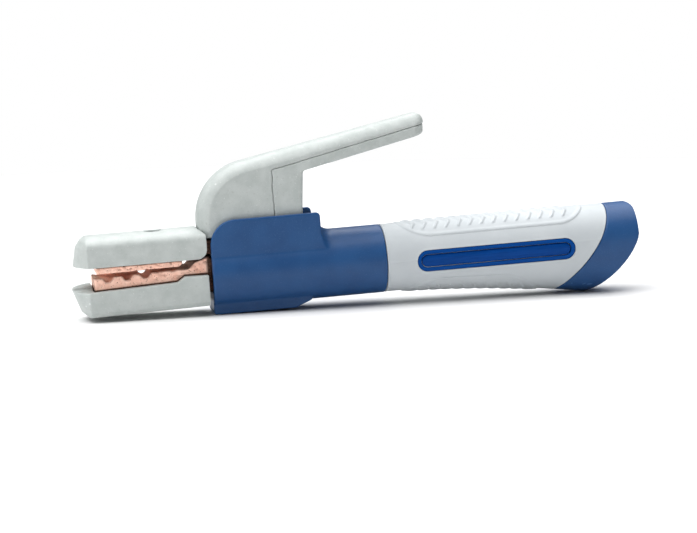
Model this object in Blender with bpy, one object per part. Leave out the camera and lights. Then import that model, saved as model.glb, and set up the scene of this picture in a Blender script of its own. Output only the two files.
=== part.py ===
"""Electrode holder for stick welding: lower jaw and handle, with a sprung lever that opens the upper jaw.

Metres, +Z up. +X runs from the jaws to the cable end, along the handle's axis. The origin is under the
middle of the holder, level with its lowest point. Outlines are written from the handle frame: its origin
is on the handle's axis, at the ring where the blue neck meets the grip.
"""

import math

import bmesh
import bpy
from mathutils import Matrix, Vector

# ---------------------------------------------------------------- driving dimensions

LENGTH = 0.258  # nose of the jaws to the end of the cap
NECK_R = 0.0155  # outer radius of neck and of the housing's round body
CAP_END_X = 0.1175  # end of the rear cap, from the ring
CAP_DROP = 0.0236  # lowest point of the cap, below the handle's axis
GAP = 0.0003  # clearance between touching pieces
SIDES = 40  # facets round a large turned piece
SMALL_SIDES = 20  # facets round a screw or pin

RING_AT = Vector((LENGTH / 2 - CAP_END_X, 0.0, CAP_DROP))
NOSE_X = CAP_END_X - LENGTH

# Pivot of the lever, hidden between the cheeks of the housing.
PIVOT = Vector((-0.0600, 0.0, 0.0100))
PIN_R = 0.0025
BUSH_R = 0.0038
EAR_R = 0.0065
EAR_IN = 0.0046
EAR_OUT = 0.0074
PIN_HALF = 0.0086
CLIP_IN = EAR_OUT + GAP
CLIP_OUT = 0.0083
CLIP_R = PIN_R + 0.0022

# Jaws. Half widths are along Y.
JAW_FRONT_X = -0.1310
JAW_HALF = 0.0095
JAW_TOP_FRONT_Z = 0.0034
JAW_TOP_REAR_Z = 0.0044
JAW_BASE_Z = -0.0070
NOTCH_XS = (-0.1246, -0.1160, -0.1083)
NOTCH_HALF = 0.0026
NOTCH_DEPTH = 0.0020
NOTCH_SLANTS = (math.radians(35.0), math.radians(35.0), 0.0)  # in plan: rods can be held at an angle
SHOULDER_X = -0.0888
SHOULDER_Z = 0.0090
SHOULDER_REAR_X = -0.0797
SHOULDER_BEND = (0.0026, 0.0068)  # ahead of the shoulder, and up
DECK_X = -0.0700
DECK_Z = 0.0030
DECK_END_X = -0.0480
SHANK_R = 0.0060
SHANK_FRONT_X = -0.0520
SHANK_END_X = 0.0340

INSULATOR_HALF = 0.0134
INSULATOR_REAR_X = -0.0805
INSULATOR_CORNER_X = -0.1336
LOWER_TOP_Z = -0.0011
LOWER_STEP_Z = 0.0012
LOWER_BASE_Z = -0.0136
NOSE_LEDGE = 0.0013  # the nose is this much lower on its right side
NOSE_LEDGE_Y = -0.0005
UPPER_BASE_Z = 0.0086
UPPER_WALL_Z = 0.0173
UPPER_TOP_Z = 0.0217
UPPER_TOP_HALF = 0.0100
UPPER_REAR_TOP_Z = 0.0192
UPPER_CREST_X = -0.0840
INSULATOR_CHAMFER = 0.0012
LOWER_TOE_X = -0.1371
LOWER_TOE_Z = -0.0117
LOWER_TOE_BASE_X = -0.1349
LOWER_REAR_EDGE_Z = -0.0111
RIM_STEP_X = (-0.0944, -0.0910)
POCKET_HALF = JAW_HALF + GAP
POCKET_MOUTH_Z = 0.0060

# Screws. Each hole has the shank's or the head's radius and the clearance.
SCREW_R = 0.0016
SCREW_HEAD_R = 0.0036
SCREW_HOLE_R = SCREW_R + GAP
SCREW_RECESS_R = SCREW_HEAD_R + GAP
LOCK_SCREW_R = 0.0019
LOCK_SCREW_HEAD_R = 0.0020
LOCK_HOLE_R = LOCK_SCREW_HEAD_R + GAP
COVER_SCREW_R = 0.0013
COVER_HEAD_R = 0.0027
JAW_SCREW_X = -0.1028

# Cutters reach past every surface that they have to cross.
BESIDE = 0.0200
ABOVE_Z = 0.0400
AHEAD_X = -0.1500
BEHIND_INSULATORS_X = -0.0750

UPPER_JAW_Z = (0.0051, 0.0081)
UPPER_JAW_X = (-0.1297, -0.0914)
CORE_BAR_X = (-0.1280, -0.0700)
CORE_BAR_Z = (0.0084, 0.0162)
CORE_STEP_X = -0.0900
CORE_STEP_Z = SHOULDER_Z + 0.0006
CORE_BAR_HALF = 0.0088
CORE_ARM_HALF = 0.0040
CORE_ARM_THICK = 0.0050

# Housing: round body with two flat cheeks above and a keel below.
HOUSING_FRONT_X = -0.0787
CHEEK_HALF = 0.0133
CHEEK_INNER = 0.0108
CHEEK_TOP_Z = 0.0248
CHEEK_REAR_X = -0.0288
CHEEK_CORNER_R = 0.0115
CHEEK_REAR_CORNER_R = 0.0018
CHEEK_END_X = -0.0232
CHEEK_FILLET_Z = 0.0205
CHEEK_FILLET_R = 0.0052
KEEL_HALF = 0.0087
KEEL_Z = -0.0177
KEEL_REAR_X = -0.0415
SLOT_FLOOR_Z = JAW_BASE_Z - GAP
SLOT_REAR_X = -0.0303
SLOT_LIP_Z = 0.0186
TUBE_FRONT_X = -0.0130
HOUSING_SCREW_X = -0.0740
LOCK_SCREW_X = -0.0080

# Lever shells. The arch is a quarter circle that runs into the straight lever.
LEVER_HALF = 0.0104
LEVER_TIP_HALF = 0.0085
ARCH_CENTRE = Vector((-0.0570, 0.0, 0.0240))
ARCH_R = 0.0259
LEVER_SLOPE = math.radians(10.8)
LEVER_TIP_X = 0.0226
SEAM_X = -0.0489
BOX_REAR_X = -0.0346
UNDER_SLOPE = math.radians(12.0)
UNDER_REAR_Z = 0.0435  # underside of the lever where it meets the spring box
STRIP_THICK = 0.0046
SHELL_FLOOR_Z = 0.0125
BACK_ROUND = 0.0042
COVER_SCREW_XS = (-0.0260, -0.0060)
BOX_FOOT_X = -0.0368
SPRING_ROOM_HALF = 0.0066
SPRING_ROOM_FRONT_X = SEAM_X + 0.0013
SPRING_ROOM_REAR_X = BOX_REAR_X - 0.0031

SPRING_X = -0.0429
SPRING_COIL_R = 0.0036
SPRING_WIRE_R = 0.0006
SPRING_TURNS = 6.5
SPRING_Z = (0.0080, 0.0290)
SEAT_R = 0.0045
SEAT_THICK = 0.0012
SPRING_FLAT_Z = 0.0052

# Handle.
TUBE_R = 0.0133
TUBE_BORE_R = 0.0113
TUBE_END_X = 0.1000
SOCKET_R = 0.0102
SOCKET_BORE_R = 0.0068
SOCKET_X = (0.0220, 0.0780)
SOCKET_STOP_X = 0.0385
CABLE_SCREW_XS = (0.0520, 0.0660)
CABLE_SCREW_R = 0.0030
CABLE_HOLE_R = 0.0085
GRIP_TOP_Z = 0.0155
GRIP_RISE = 0.0009  # the top line climbs this much from the ring to the cap's end
GRIP_SPREAD = 0.0008  # and the half width grows this much
GRIP_FRONT_Z = -0.0153
CAP_LOW_X = 0.0930
CAP_HEEL_Z = 0.0030
CAP_CURVE = 1.4  # between a straight bevel, 1, and a quarter ellipse, 2
SWELL = 1.93
BADGE_X = (0.0138, 0.0870)
BADGE_Z = -0.0012
BADGE_HALF_Z = 0.0048
BADGE_RIM = 0.0018
BADGE_RECESS = 0.0006
BADGE_SEAT_Y = 0.0139
SEAM_MID = (0.0977, -0.0008)
SEAM_SLOPE = 0.643
SEAM_CURVE = 13.6

BRASS = ((0.62, 0.45, 0.20), 0.35, 1.0)
COPPER = ((0.78, 0.44, 0.32), 0.45, 1.0)
STEEL = ((0.55, 0.56, 0.58), 0.30, 1.0)
BLUE = ((0.03, 0.09, 0.24), 0.50, 0.0)
GREY = ((0.62, 0.66, 0.65), 0.60, 0.0)
GRIP_GREY = ((0.70, 0.73, 0.76), 0.75, 0.0)
BADGE_BLUE = ((0.02, 0.06, 0.30), 0.15, 0.0)
DARK = ((0.05, 0.05, 0.05), 0.60, 0.0)


# ---------------------------------------------------------------- helpers


def clear_scene():
    for obj in list(bpy.data.objects):
        bpy.data.objects.remove(obj, do_unlink=True)


def make_material(name, look):
    colour, roughness, metallic = look
    material = bpy.data.materials.new(name)
    material.use_nodes = True
    shader = material.node_tree.nodes["Principled BSDF"]
    shader.inputs["Base Color"].default_value = (*colour, 1.0)
    shader.inputs["Roughness"].default_value = roughness
    shader.inputs["Metallic"].default_value = metallic
    material.diffuse_color = (*colour, 1.0)
    return material


def add_object(name, bm, frame, smooth_deg=35.0):
    """Makes an object from a bmesh drawn in the handle frame, and hangs it on one of the two frames."""
    bm.normal_update()
    bmesh.ops.recalc_face_normals(bm, faces=bm.faces)
    mesh = bpy.data.meshes.new(name)
    bm.to_mesh(mesh)
    bm.free()
    mesh.transform(Matrix.Translation(-frame["origin"]))
    mesh.shade_smooth()
    mesh.set_sharp_from_angle(angle=math.radians(smooth_deg))
    obj = bpy.data.objects.new(name, mesh)
    bpy.context.scene.collection.objects.link(obj)
    obj.parent = frame["empty"]
    return obj


def add_part(name, bm, frame, look):
    obj = add_object(name, bm, frame)
    obj.data.materials.append(make_material(name, look))
    return obj


def combine(obj, tool, operation):
    """Adds a live Boolean with a tool object, which is kept out of the render."""
    tool.hide_render = True
    tool.display_type = "WIRE"
    modifier = obj.modifiers.new(tool.name, "BOOLEAN")
    modifier.operation = operation
    modifier.solver = "EXACT"
    modifier.object = tool


def cut(obj, bm, frame, label="cut"):
    combine(obj, add_object(f"{label}_{obj.name}", bm, frame), "DIFFERENCE")


def join(obj, bm, frame):
    combine(obj, add_object(f"join_{obj.name}", bm, frame), "UNION")


def keep_inside(obj, bm, frame):
    combine(obj, add_object(f"keep_{obj.name}", bm, frame), "INTERSECT")


def arc(centre, radius, start_deg, end_deg, steps):
    """Points (x, z) along an arc in the XZ plane."""
    points = []
    for i in range(steps + 1):
        angle = math.radians(start_deg + (end_deg - start_deg) * i / steps)
        points.append((centre[0] + radius * math.cos(angle), centre[1] + radius * math.sin(angle)))
    return points


def prism(outline, y0, y1):
    """An (x, z) outline extruded from y0 to y1."""
    bm = bmesh.new()
    face = bm.faces.new([bm.verts.new((x, y0, z)) for x, z in outline])
    made = bmesh.ops.extrude_face_region(bm, geom=[face])["geom"]
    moved = [v for v in made if isinstance(v, bmesh.types.BMVert)]
    bmesh.ops.translate(bm, verts=moved, vec=(0.0, y1 - y0, 0.0))
    return bm


def box(x0, x1, y0, y1, z0, z1):
    return prism([(x0, z0), (x1, z0), (x1, z1), (x0, z1)], y0, y1)


def hull(points):
    bm = bmesh.new()
    for point in points:
        bm.verts.new(point)
    made = bmesh.ops.convex_hull(bm, input=bm.verts)
    spare = [v for v in made["geom_interior"] if isinstance(v, bmesh.types.BMVert)]
    bmesh.ops.delete(bm, geom=spare, context="VERTS")
    return bm


def turned(profile, axis="X", at=(0.0, 0.0, 0.0), sides=SIDES):
    """A closed profile of (along, radius) points spun about an axis, where radius 0 is on the axis."""
    bm = bmesh.new()
    verts = [bm.verts.new((along, radius, 0.0)) for along, radius in profile]
    for i, vert in enumerate(verts):
        bm.edges.new((vert, verts[(i + 1) % len(verts)]))
    bmesh.ops.spin(
        bm, geom=bm.verts[:] + bm.edges[:], axis=(1.0, 0.0, 0.0), cent=(0.0, 0.0, 0.0),
        angle=2 * math.pi, steps=sides, use_merge=True,
    )
    bmesh.ops.remove_doubles(bm, verts=bm.verts, dist=1e-6)
    on_axis = [e for e in bm.edges if not e.link_faces]
    bmesh.ops.delete(bm, geom=on_axis, context="EDGES")
    turn = {
        "X": Matrix.Identity(4),
        "Y": Matrix.Rotation(math.pi / 2, 4, "Z"),
        "Z": Matrix.Rotation(-math.pi / 2, 4, "Y"),
    }[axis]
    bm.transform(Matrix.Translation(at) @ turn)
    return bm


def rod(start, end, radius, axis="X", at=(0.0, 0.0, 0.0), sides=SIDES):
    return turned([(start, 0.0), (start, radius), (end, radius), (end, 0.0)], axis, at, sides)


def screw(name, frame, at, tip, head_from, head_to, shank_r=SCREW_R, head_r=SCREW_HEAD_R, tilt=0.0):
    """A steel screw along Z with a cross slot in its head. Its tip and its head are heights over at."""
    profile = [(tip, 0.0), (tip, shank_r), (head_from, shank_r), (head_from, head_r)]
    profile += [(head_to, head_r), (head_to, 0.0)]
    lean = Matrix.Translation(at) @ Matrix.Rotation(tilt, 4, "Y")
    body = turned(profile, "Z", sides=SMALL_SIDES)
    body.transform(lean)
    obj = add_part(name, body, frame, STEEL)
    outward = 1.0 if head_to > head_from else -1.0
    depth = 0.5 * abs(head_to - head_from)
    floor = head_to - outward * depth
    over = head_to + outward * depth
    slot_half = 0.0004
    slot_long = 0.7 * head_r
    low, high = sorted((floor, over))
    for i, (along_x, along_y) in enumerate(((slot_long, slot_half), (slot_half, slot_long))):
        slot = box(-along_x, along_x, -along_y, along_y, low, high)
        slot.transform(lean)
        cut(obj, slot, frame, f"slot{i}")
    return obj


# ---------------------------------------------------------------- jaws


def jaw_top_z(x):
    """Height of the lower jaw's gripping face, which climbs a little towards the shoulder."""
    part_way = (x - JAW_FRONT_X) / (SHOULDER_X - JAW_FRONT_X)
    return JAW_TOP_FRONT_Z + (JAW_TOP_REAR_Z - JAW_TOP_FRONT_Z) * part_way


def jaw_outline():
    """Side view of the lower jaw casting's plate, from its gripping face to the ears' deck."""
    top = [(JAW_FRONT_X, JAW_TOP_FRONT_Z), (SHOULDER_X, JAW_TOP_REAR_Z)]
    top += [(SHOULDER_X + SHOULDER_BEND[0], SHOULDER_BEND[1]), (SHOULDER_REAR_X, SHOULDER_Z)]
    top += [(DECK_X, DECK_Z), (DECK_END_X, DECK_Z), (DECK_END_X, JAW_BASE_Z)]
    return top + [(JAW_FRONT_X, JAW_BASE_Z)]


def groove(x, slant):
    """Cutter of a V groove for the rod. It starts at x on the jaw's right side and slants in plan."""
    half = NOTCH_HALF * math.cos(slant)
    over = NOTCH_DEPTH
    outline = [(-half, 0.0), (-half / 3, -NOTCH_DEPTH), (half / 3, -NOTCH_DEPTH), (half, 0.0)]
    outline += [(half, over), (-half, over)]
    cutter = prism(outline, -BESIDE, 2 * BESIDE)
    place = Vector((x, -JAW_HALF, jaw_top_z(x)))
    cutter.transform(Matrix.Translation(place) @ Matrix.Rotation(slant, 4, "Z"))
    return cutter


def ear_outline():
    foot_z = 0.0
    round_top = arc((PIVOT.x, PIVOT.z), EAR_R, 0.0, 180.0, 14)
    return [(PIVOT.x - EAR_R, foot_z), (PIVOT.x + EAR_R, foot_z)] + round_top


def add_lower_jaw(holder):
    jaw = add_part("lower_jaw", prism(jaw_outline(), -JAW_HALF, JAW_HALF), holder, COPPER)
    for label, inner, outer in (("left", EAR_IN, EAR_OUT), ("right", -EAR_OUT, -EAR_IN)):
        ear = add_object(f"ear_{label}", prism(ear_outline(), inner, outer), holder)
        combine(jaw, ear, "UNION")
    shank = rod(SHANK_FRONT_X, SHANK_END_X, SHANK_R)
    combine(jaw, add_object("shank", shank, holder), "UNION")
    for i, (x, slant) in enumerate(zip(NOTCH_XS, NOTCH_SLANTS)):
        cut(jaw, groove(x, slant), holder, f"groove{i}")
    seat_room = SEAT_R + GAP
    flat = box(SPRING_X - seat_room, SPRING_X + seat_room, -BESIDE, BESIDE, SPRING_FLAT_Z, BESIDE)
    cut(jaw, flat, holder, "spring_flat")
    cut(jaw, rod(-BESIDE, BESIDE, PIN_R + GAP, "Y", PIVOT, SMALL_SIDES), holder, "pin_hole")
    for label, x in (("insulator", JAW_SCREW_X), ("housing", HOUSING_SCREW_X)):
        hole = rod(-0.009, -0.0010, SCREW_HOLE_R, "Z", (x, 0.0, 0.0), SMALL_SIDES)
        cut(jaw, hole, holder, f"{label}_screw_hole")
    return jaw


def nose_points(tip_x, corner_x, half, z, steps=8):
    """A bow-shaped nose in plan: its tip on the middle plane and its corners at the full half width."""
    points = []
    for i in range(-steps, steps + 1):
        share = i / steps
        points.append((tip_x + (corner_x - tip_x) * share**2, half * share, z))
    return points


def add_lower_insulator(holder):
    rear_base_z = LOWER_BASE_Z + 0.0008
    points = nose_points(NOSE_X, INSULATOR_CORNER_X, INSULATOR_HALF, LOWER_TOP_Z - 0.0010)
    points += nose_points(NOSE_X, INSULATOR_CORNER_X, INSULATOR_HALF, LOWER_STEP_Z)
    points += nose_points(LOWER_TOE_X, INSULATOR_CORNER_X, INSULATOR_HALF, LOWER_TOE_Z)
    base_half = INSULATOR_HALF - INSULATOR_CHAMFER
    points += nose_points(LOWER_TOE_BASE_X, INSULATOR_CORNER_X, base_half, LOWER_BASE_Z)
    for side in (-1, 1):
        points.append((INSULATOR_REAR_X, side * INSULATOR_HALF, LOWER_REAR_EDGE_Z))
        points.append((INSULATOR_REAR_X, side * base_half, rear_base_z))
        points.append((INSULATOR_REAR_X, side * INSULATOR_HALF, LOWER_STEP_Z))
        points.append((INSULATOR_CORNER_X, side * INSULATOR_HALF, LOWER_STEP_Z))
    trough = add_part("lower_jaw_insulator", hull(points), holder, GREY)
    low_rim_z = LOWER_TOP_Z - NOSE_LEDGE
    front_x = JAW_FRONT_X - GAP
    rear_x = BEHIND_INSULATORS_X
    mouth_z = POCKET_MOUTH_Z
    rim = [(front_x, low_rim_z), (RIM_STEP_X[0], LOWER_TOP_Z), (RIM_STEP_X[1], LOWER_STEP_Z)]
    rim += [(rear_x, LOWER_STEP_Z - GAP), (rear_x, mouth_z), (front_x, mouth_z)]
    cut(trough, prism(rim, -BESIDE, BESIDE), holder, "rim")
    nose_top = box(AHEAD_X, JAW_FRONT_X, -BESIDE, BESIDE, LOWER_TOP_Z, mouth_z)
    cut(trough, nose_top, holder, "nose_top")
    ledge = box(AHEAD_X, JAW_FRONT_X, -BESIDE, NOSE_LEDGE_Y, low_rim_z, mouth_z)
    cut(trough, ledge, holder, "ledge")
    pocket = box(front_x, rear_x, -POCKET_HALF, POCKET_HALF, JAW_BASE_Z - GAP, mouth_z)
    cut(trough, pocket, holder, "pocket")
    hole = rod(-0.016, -0.005, SCREW_HOLE_R, "Z", (JAW_SCREW_X, 0.0, 0.0), SMALL_SIDES)
    cut(trough, hole, holder, "screw_hole")
    recess = rod(-0.016, -0.0106, SCREW_RECESS_R, "Z", (JAW_SCREW_X, 0.0, 0.0), SMALL_SIDES)
    cut(trough, recess, holder, "screw_recess")
    return trough


def add_upper_insulator(lever):
    nose_tip_x = NOSE_X + 0.0010
    points = nose_points(nose_tip_x, INSULATOR_CORNER_X, INSULATOR_HALF, UPPER_BASE_Z)
    points += nose_points(nose_tip_x + 0.0018, INSULATOR_CORNER_X, INSULATOR_HALF, UPPER_WALL_Z)
    crest_x = nose_tip_x + 0.0045
    points += nose_points(crest_x, INSULATOR_CORNER_X + 0.0015, UPPER_TOP_HALF, UPPER_TOP_Z)
    for side in (-1, 1):
        points.append((INSULATOR_REAR_X, side * INSULATOR_HALF, UPPER_BASE_Z - 0.0002))
        points.append((INSULATOR_REAR_X, side * INSULATOR_HALF, UPPER_WALL_Z - 0.0010))
        points.append((INSULATOR_REAR_X, side * UPPER_TOP_HALF, UPPER_REAR_TOP_Z))
        points.append((UPPER_CREST_X, side * UPPER_TOP_HALF, UPPER_TOP_Z))
    cover = add_part("upper_jaw_insulator", hull(points), lever, GREY)
    pocket_top_z = CORE_BAR_Z[1] + GAP
    front_x = JAW_FRONT_X - GAP
    pocket = box(front_x, BEHIND_INSULATORS_X, -POCKET_HALF, POCKET_HALF, 0.0, pocket_top_z)
    cut(cover, pocket, lever, "pocket")
    corner = [(-0.0830, 0.004), (-0.0750, 0.004), (-0.0750, 0.0130), (-0.0805, 0.0130)]
    corner += arc((-0.0845, 0.0126), 0.0040, 0.0, -75.0, 6)
    cut(cover, prism(corner, -BESIDE, BESIDE), lever, "corner")
    hole = rod(CORE_BAR_Z[0], ABOVE_Z, SCREW_RECESS_R, "Z", (JAW_SCREW_X, 0.0, 0.0), SMALL_SIDES)
    cut(cover, hole, lever, "screw_hole")
    return cover


def add_upper_jaw(lever):
    x0, x1 = UPPER_JAW_X
    z0, z1 = UPPER_JAW_Z
    outline = [(x0, z0), (x1 - 0.0015, z0 + 0.0004), (x1, z0 + 0.0015), (x1, z1), (x0, z1)]
    jaw = add_part("upper_jaw", prism(outline, -JAW_HALF, JAW_HALF), lever, COPPER)
    hole = rod(z0 + 0.0010, z1 + 0.0010, SCREW_HOLE_R, "Z", (JAW_SCREW_X, 0.0, 0.0), SMALL_SIDES)
    cut(jaw, hole, lever, "screw_hole")
    return jaw


# ---------------------------------------------------------------- lever


def lever_top_z(x):
    """Height of the lever's straight top line."""
    touch_x = ARCH_CENTRE.x - ARCH_R * math.sin(LEVER_SLOPE)
    touch_z = ARCH_CENTRE.z + ARCH_R * math.cos(LEVER_SLOPE)
    return touch_z + (x - touch_x) * math.tan(LEVER_SLOPE)


def lever_under_z(x):
    return UNDER_REAR_Z + (x - BOX_REAR_X) * math.tan(UNDER_SLOPE)


def arch_points():
    return arc((ARCH_CENTRE.x, ARCH_CENTRE.z), ARCH_R, 90.0 + math.degrees(LEVER_SLOPE), 180.0, 14)


def core_arm_outline(grow):
    """Side view of the metal arm that runs from the pivot up the arch and into the lever."""
    half = CORE_ARM_THICK / 2 + grow
    end_x = grow
    bend_x = PIVOT.x + 0.004
    mid = 0.5 * (lever_top_z(0.0) + lever_under_z(0.0)) + 0.0008
    slope = math.tan(LEVER_SLOPE)

    def centre_z(x):
        return mid + x * slope

    reach = EAR_R - GAP + grow
    outline = [(PIVOT.x - reach, PIVOT.z), (bend_x - half, centre_z(bend_x - half) - 0.001)]
    outline += [(bend_x + 0.002, centre_z(bend_x + 0.002) + half), (end_x, centre_z(end_x) + half)]
    outline += [(end_x, centre_z(end_x) - half), (bend_x + half + 0.004, centre_z(bend_x) - half)]
    return outline + [(PIVOT.x + reach, PIVOT.z)]


def add_lever_core(lever):
    base_z, top_z = CORE_BAR_Z
    front_x, rear_x = CORE_BAR_X
    bar = [(front_x, base_z), (CORE_STEP_X, base_z), (CORE_STEP_X, CORE_STEP_Z), (rear_x, CORE_STEP_Z)]
    bar += [(rear_x, top_z), (front_x, top_z)]
    core = add_part("lever_core", prism(bar, -CORE_BAR_HALF, CORE_BAR_HALF), lever, COPPER)
    lug = arc((PIVOT.x, PIVOT.z), EAR_R, -110.0, 60.0, 12)
    lug += [(PIVOT.x, top_z), (-0.0760, top_z), (-0.0760, CORE_STEP_Z)]
    join(core, prism(lug, -CORE_ARM_HALF, CORE_ARM_HALF), lever)
    arm = add_object("arm_lever_core", prism(core_arm_outline(0.0), -CORE_ARM_HALF, CORE_ARM_HALF), lever)
    combine(core, arm, "UNION")
    cut(core, rod(-BESIDE, BESIDE, BUSH_R + GAP, "Y", PIVOT, SMALL_SIDES), lever, "bush_hole")
    hole = rod(0.0, ABOVE_Z, SCREW_HOLE_R, "Z", (JAW_SCREW_X, 0.0, 0.0), SMALL_SIDES)
    cut(core, hole, lever, "jaw_screw_hole")
    for i, x in enumerate(COVER_SCREW_XS):
        cut(core, cover_screw_hole(x), lever, f"cover_screw_hole{i}")
    return core


def cover_screw_hole(x, depth=0.0080, radius=COVER_SCREW_R + GAP):
    """Cutter of a hole that goes in square to the lever's underside."""
    hole = rod(-0.002, depth, radius, "Z", sides=SMALL_SIDES)
    place = Matrix.Translation((x, 0.0, lever_under_z(x)))
    hole.transform(place @ Matrix.Rotation(-UNDER_SLOPE, 4, "Y"))
    return hole


def round_back(bm):
    """Rounds the two long edges where the lever's back meets its sides."""

    def on_back(x, z):
        if x > ARCH_CENTRE.x - ARCH_R * math.sin(LEVER_SLOPE):
            return z > lever_top_z(x) - 0.0004
        reach = math.hypot(x - ARCH_CENTRE.x, z - ARCH_CENTRE.z)
        return z > ARCH_CENTRE.z - 0.0025 and reach > ARCH_R - 0.0004

    edges = []
    for edge in bm.edges:
        first, second = (v.co for v in edge.verts)
        along_side = abs(first.y - second.y) < 1e-6
        if along_side and on_back(first.x, first.z) and on_back(second.x, second.z):
            edges.append(edge)
    bmesh.ops.bevel(bm, geom=edges, offset=BACK_ROUND, segments=4, profile=0.5, affect="EDGES")


def taper_lever(bm):
    """Narrows the lever along Y towards its tip."""
    start_x = BOX_REAR_X
    for vert in bm.verts:
        share = min(max((vert.co.x - start_x) / (LEVER_TIP_X - start_x), 0.0), 1.0)
        vert.co.y *= 1.0 - share * (1.0 - LEVER_TIP_HALF / LEVER_HALF)


def add_lever_shell(lever):
    """The arch and the upper part of the lever, in one hollow moulding open below."""
    split = STRIP_THICK + GAP
    tip_under_z = lever_under_z(LEVER_TIP_X)
    outline = [(SEAM_X, SHELL_FLOOR_Z), (SEAM_X, lever_under_z(SEAM_X) + split)]
    outline += [(BOX_REAR_X, lever_under_z(BOX_REAR_X) + split), (LEVER_TIP_X, tip_under_z + split)]
    outline += arc((LEVER_TIP_X - 0.0030, lever_top_z(LEVER_TIP_X) - 0.0034), 0.0030, 10.0, 100.8, 6)
    outline += arch_points()
    outline += [(ARCH_CENTRE.x - ARCH_R, 0.0222), (-0.0838, 0.0221), (-0.0800, 0.0196)]
    outline += [(-0.0745, 0.0196), (-0.0700, SHELL_FLOOR_Z + 0.0045), (-0.0660, SHELL_FLOOR_Z)]
    bm = prism(outline, -LEVER_HALF, LEVER_HALF)
    round_back(bm)
    taper_lever(bm)
    shell = add_part("lever_shell", bm, lever, GREY)
    cut(shell, prism(core_arm_outline(GAP), -CORE_ARM_HALF - GAP, CORE_ARM_HALF + GAP), lever, "arm_slot")
    ears = arc((PIVOT.x, PIVOT.z), EAR_R + 0.0006, 0.0, 180.0, 14)
    ears += [(PIVOT.x - EAR_R - 0.0006, 0.0), (PIVOT.x + EAR_R + 0.0006, 0.0)]
    ear_room = PIN_HALF + GAP
    cut(shell, prism(ears, -ear_room, ear_room), lever, "ear_room")
    bar_half = CORE_BAR_HALF + GAP
    bar_room = box(CORE_STEP_X, PIVOT.x, -bar_half, bar_half, 0.0, CORE_BAR_Z[1] + GAP)
    cut(shell, bar_room, lever, "bar_room")
    return shell


def add_under_cover(lever):
    """The spring box behind the seam, in one piece with the strip along the lever's underside."""
    floor_z = SHELL_FLOOR_Z + 0.0015
    strip_end_x = LEVER_TIP_X - 0.0006
    strip_end_z = lever_under_z(strip_end_x)
    outline = [(SEAM_X + GAP, floor_z), (BOX_FOOT_X, floor_z), (BOX_REAR_X, UNDER_REAR_Z)]
    outline += [(strip_end_x, strip_end_z), (strip_end_x, strip_end_z + STRIP_THICK)]
    outline += [(SEAM_X + GAP, lever_under_z(SEAM_X) + STRIP_THICK)]
    bm = prism(outline, -LEVER_HALF, LEVER_HALF)
    taper_lever(bm)
    cover = add_part("lever_under_cover", bm, lever, GREY)
    soften(cover, 0.0010, 2)
    half = SPRING_ROOM_HALF
    ceiling_z = SPRING_Z[1] + SEAT_THICK + 2 * GAP
    room = box(SPRING_ROOM_FRONT_X, SPRING_ROOM_REAR_X, -half, half, 0.0, ceiling_z)
    cut(cover, room, lever, "spring_room")
    cut(cover, prism(core_arm_outline(GAP), -CORE_ARM_HALF - GAP, CORE_ARM_HALF + GAP), lever, "arm_slot")
    for i, x in enumerate(COVER_SCREW_XS):
        cut(cover, cover_screw_hole(x), lever, f"screw_hole{i}")
        cut(cover, cover_screw_hole(x, 0.0016, COVER_HEAD_R + GAP), lever, f"screw_head{i}")
    return cover


def soften(obj, width, segments):
    """Rounds the edges that are sharp enough to catch the light."""
    bevel = obj.modifiers.new("soften", "BEVEL")
    bevel.width = width
    bevel.segments = segments
    bevel.limit_method = "ANGLE"
    bevel.angle_limit = math.radians(50.0)


# ---------------------------------------------------------------- pivot and spring


def add_pivot(holder, lever):
    add_part("pivot_pin", rod(-PIN_HALF, PIN_HALF, PIN_R, "Y", PIVOT, SMALL_SIDES), holder, STEEL)
    clip = [(CLIP_IN, PIN_R + GAP), (CLIP_IN, CLIP_R), (CLIP_OUT, CLIP_R), (CLIP_OUT, PIN_R + GAP)]
    for label, side in (("left", 1.0), ("right", -1.0)):
        profile = [(side * along, radius) for along, radius in clip]
        add_part(f"pivot_clip_{label}", turned(profile, "Y", PIVOT, SMALL_SIDES), holder, STEEL)
    half = CORE_ARM_HALF
    bush = [(-half, PIN_R + GAP), (-half, BUSH_R), (half, BUSH_R), (half, PIN_R + GAP)]
    add_part("pivot_bush", turned(bush, "Y", PIVOT, SMALL_SIDES), lever, DARK)


def coil_points(turns, radius, z0, z1, per_turn):
    """Centre line of a spring with its end turns closed."""
    points = []
    count = round(turns * per_turn)
    for i in range(count + 1):
        share = i / count
        eased = share - 0.09 * math.sin(2 * math.pi * share) / math.pi
        angle = 2 * math.pi * turns * share
        height = z0 + (z1 - z0) * eased
        points.append(Vector((radius * math.cos(angle), radius * math.sin(angle), height)))
    return points


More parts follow.
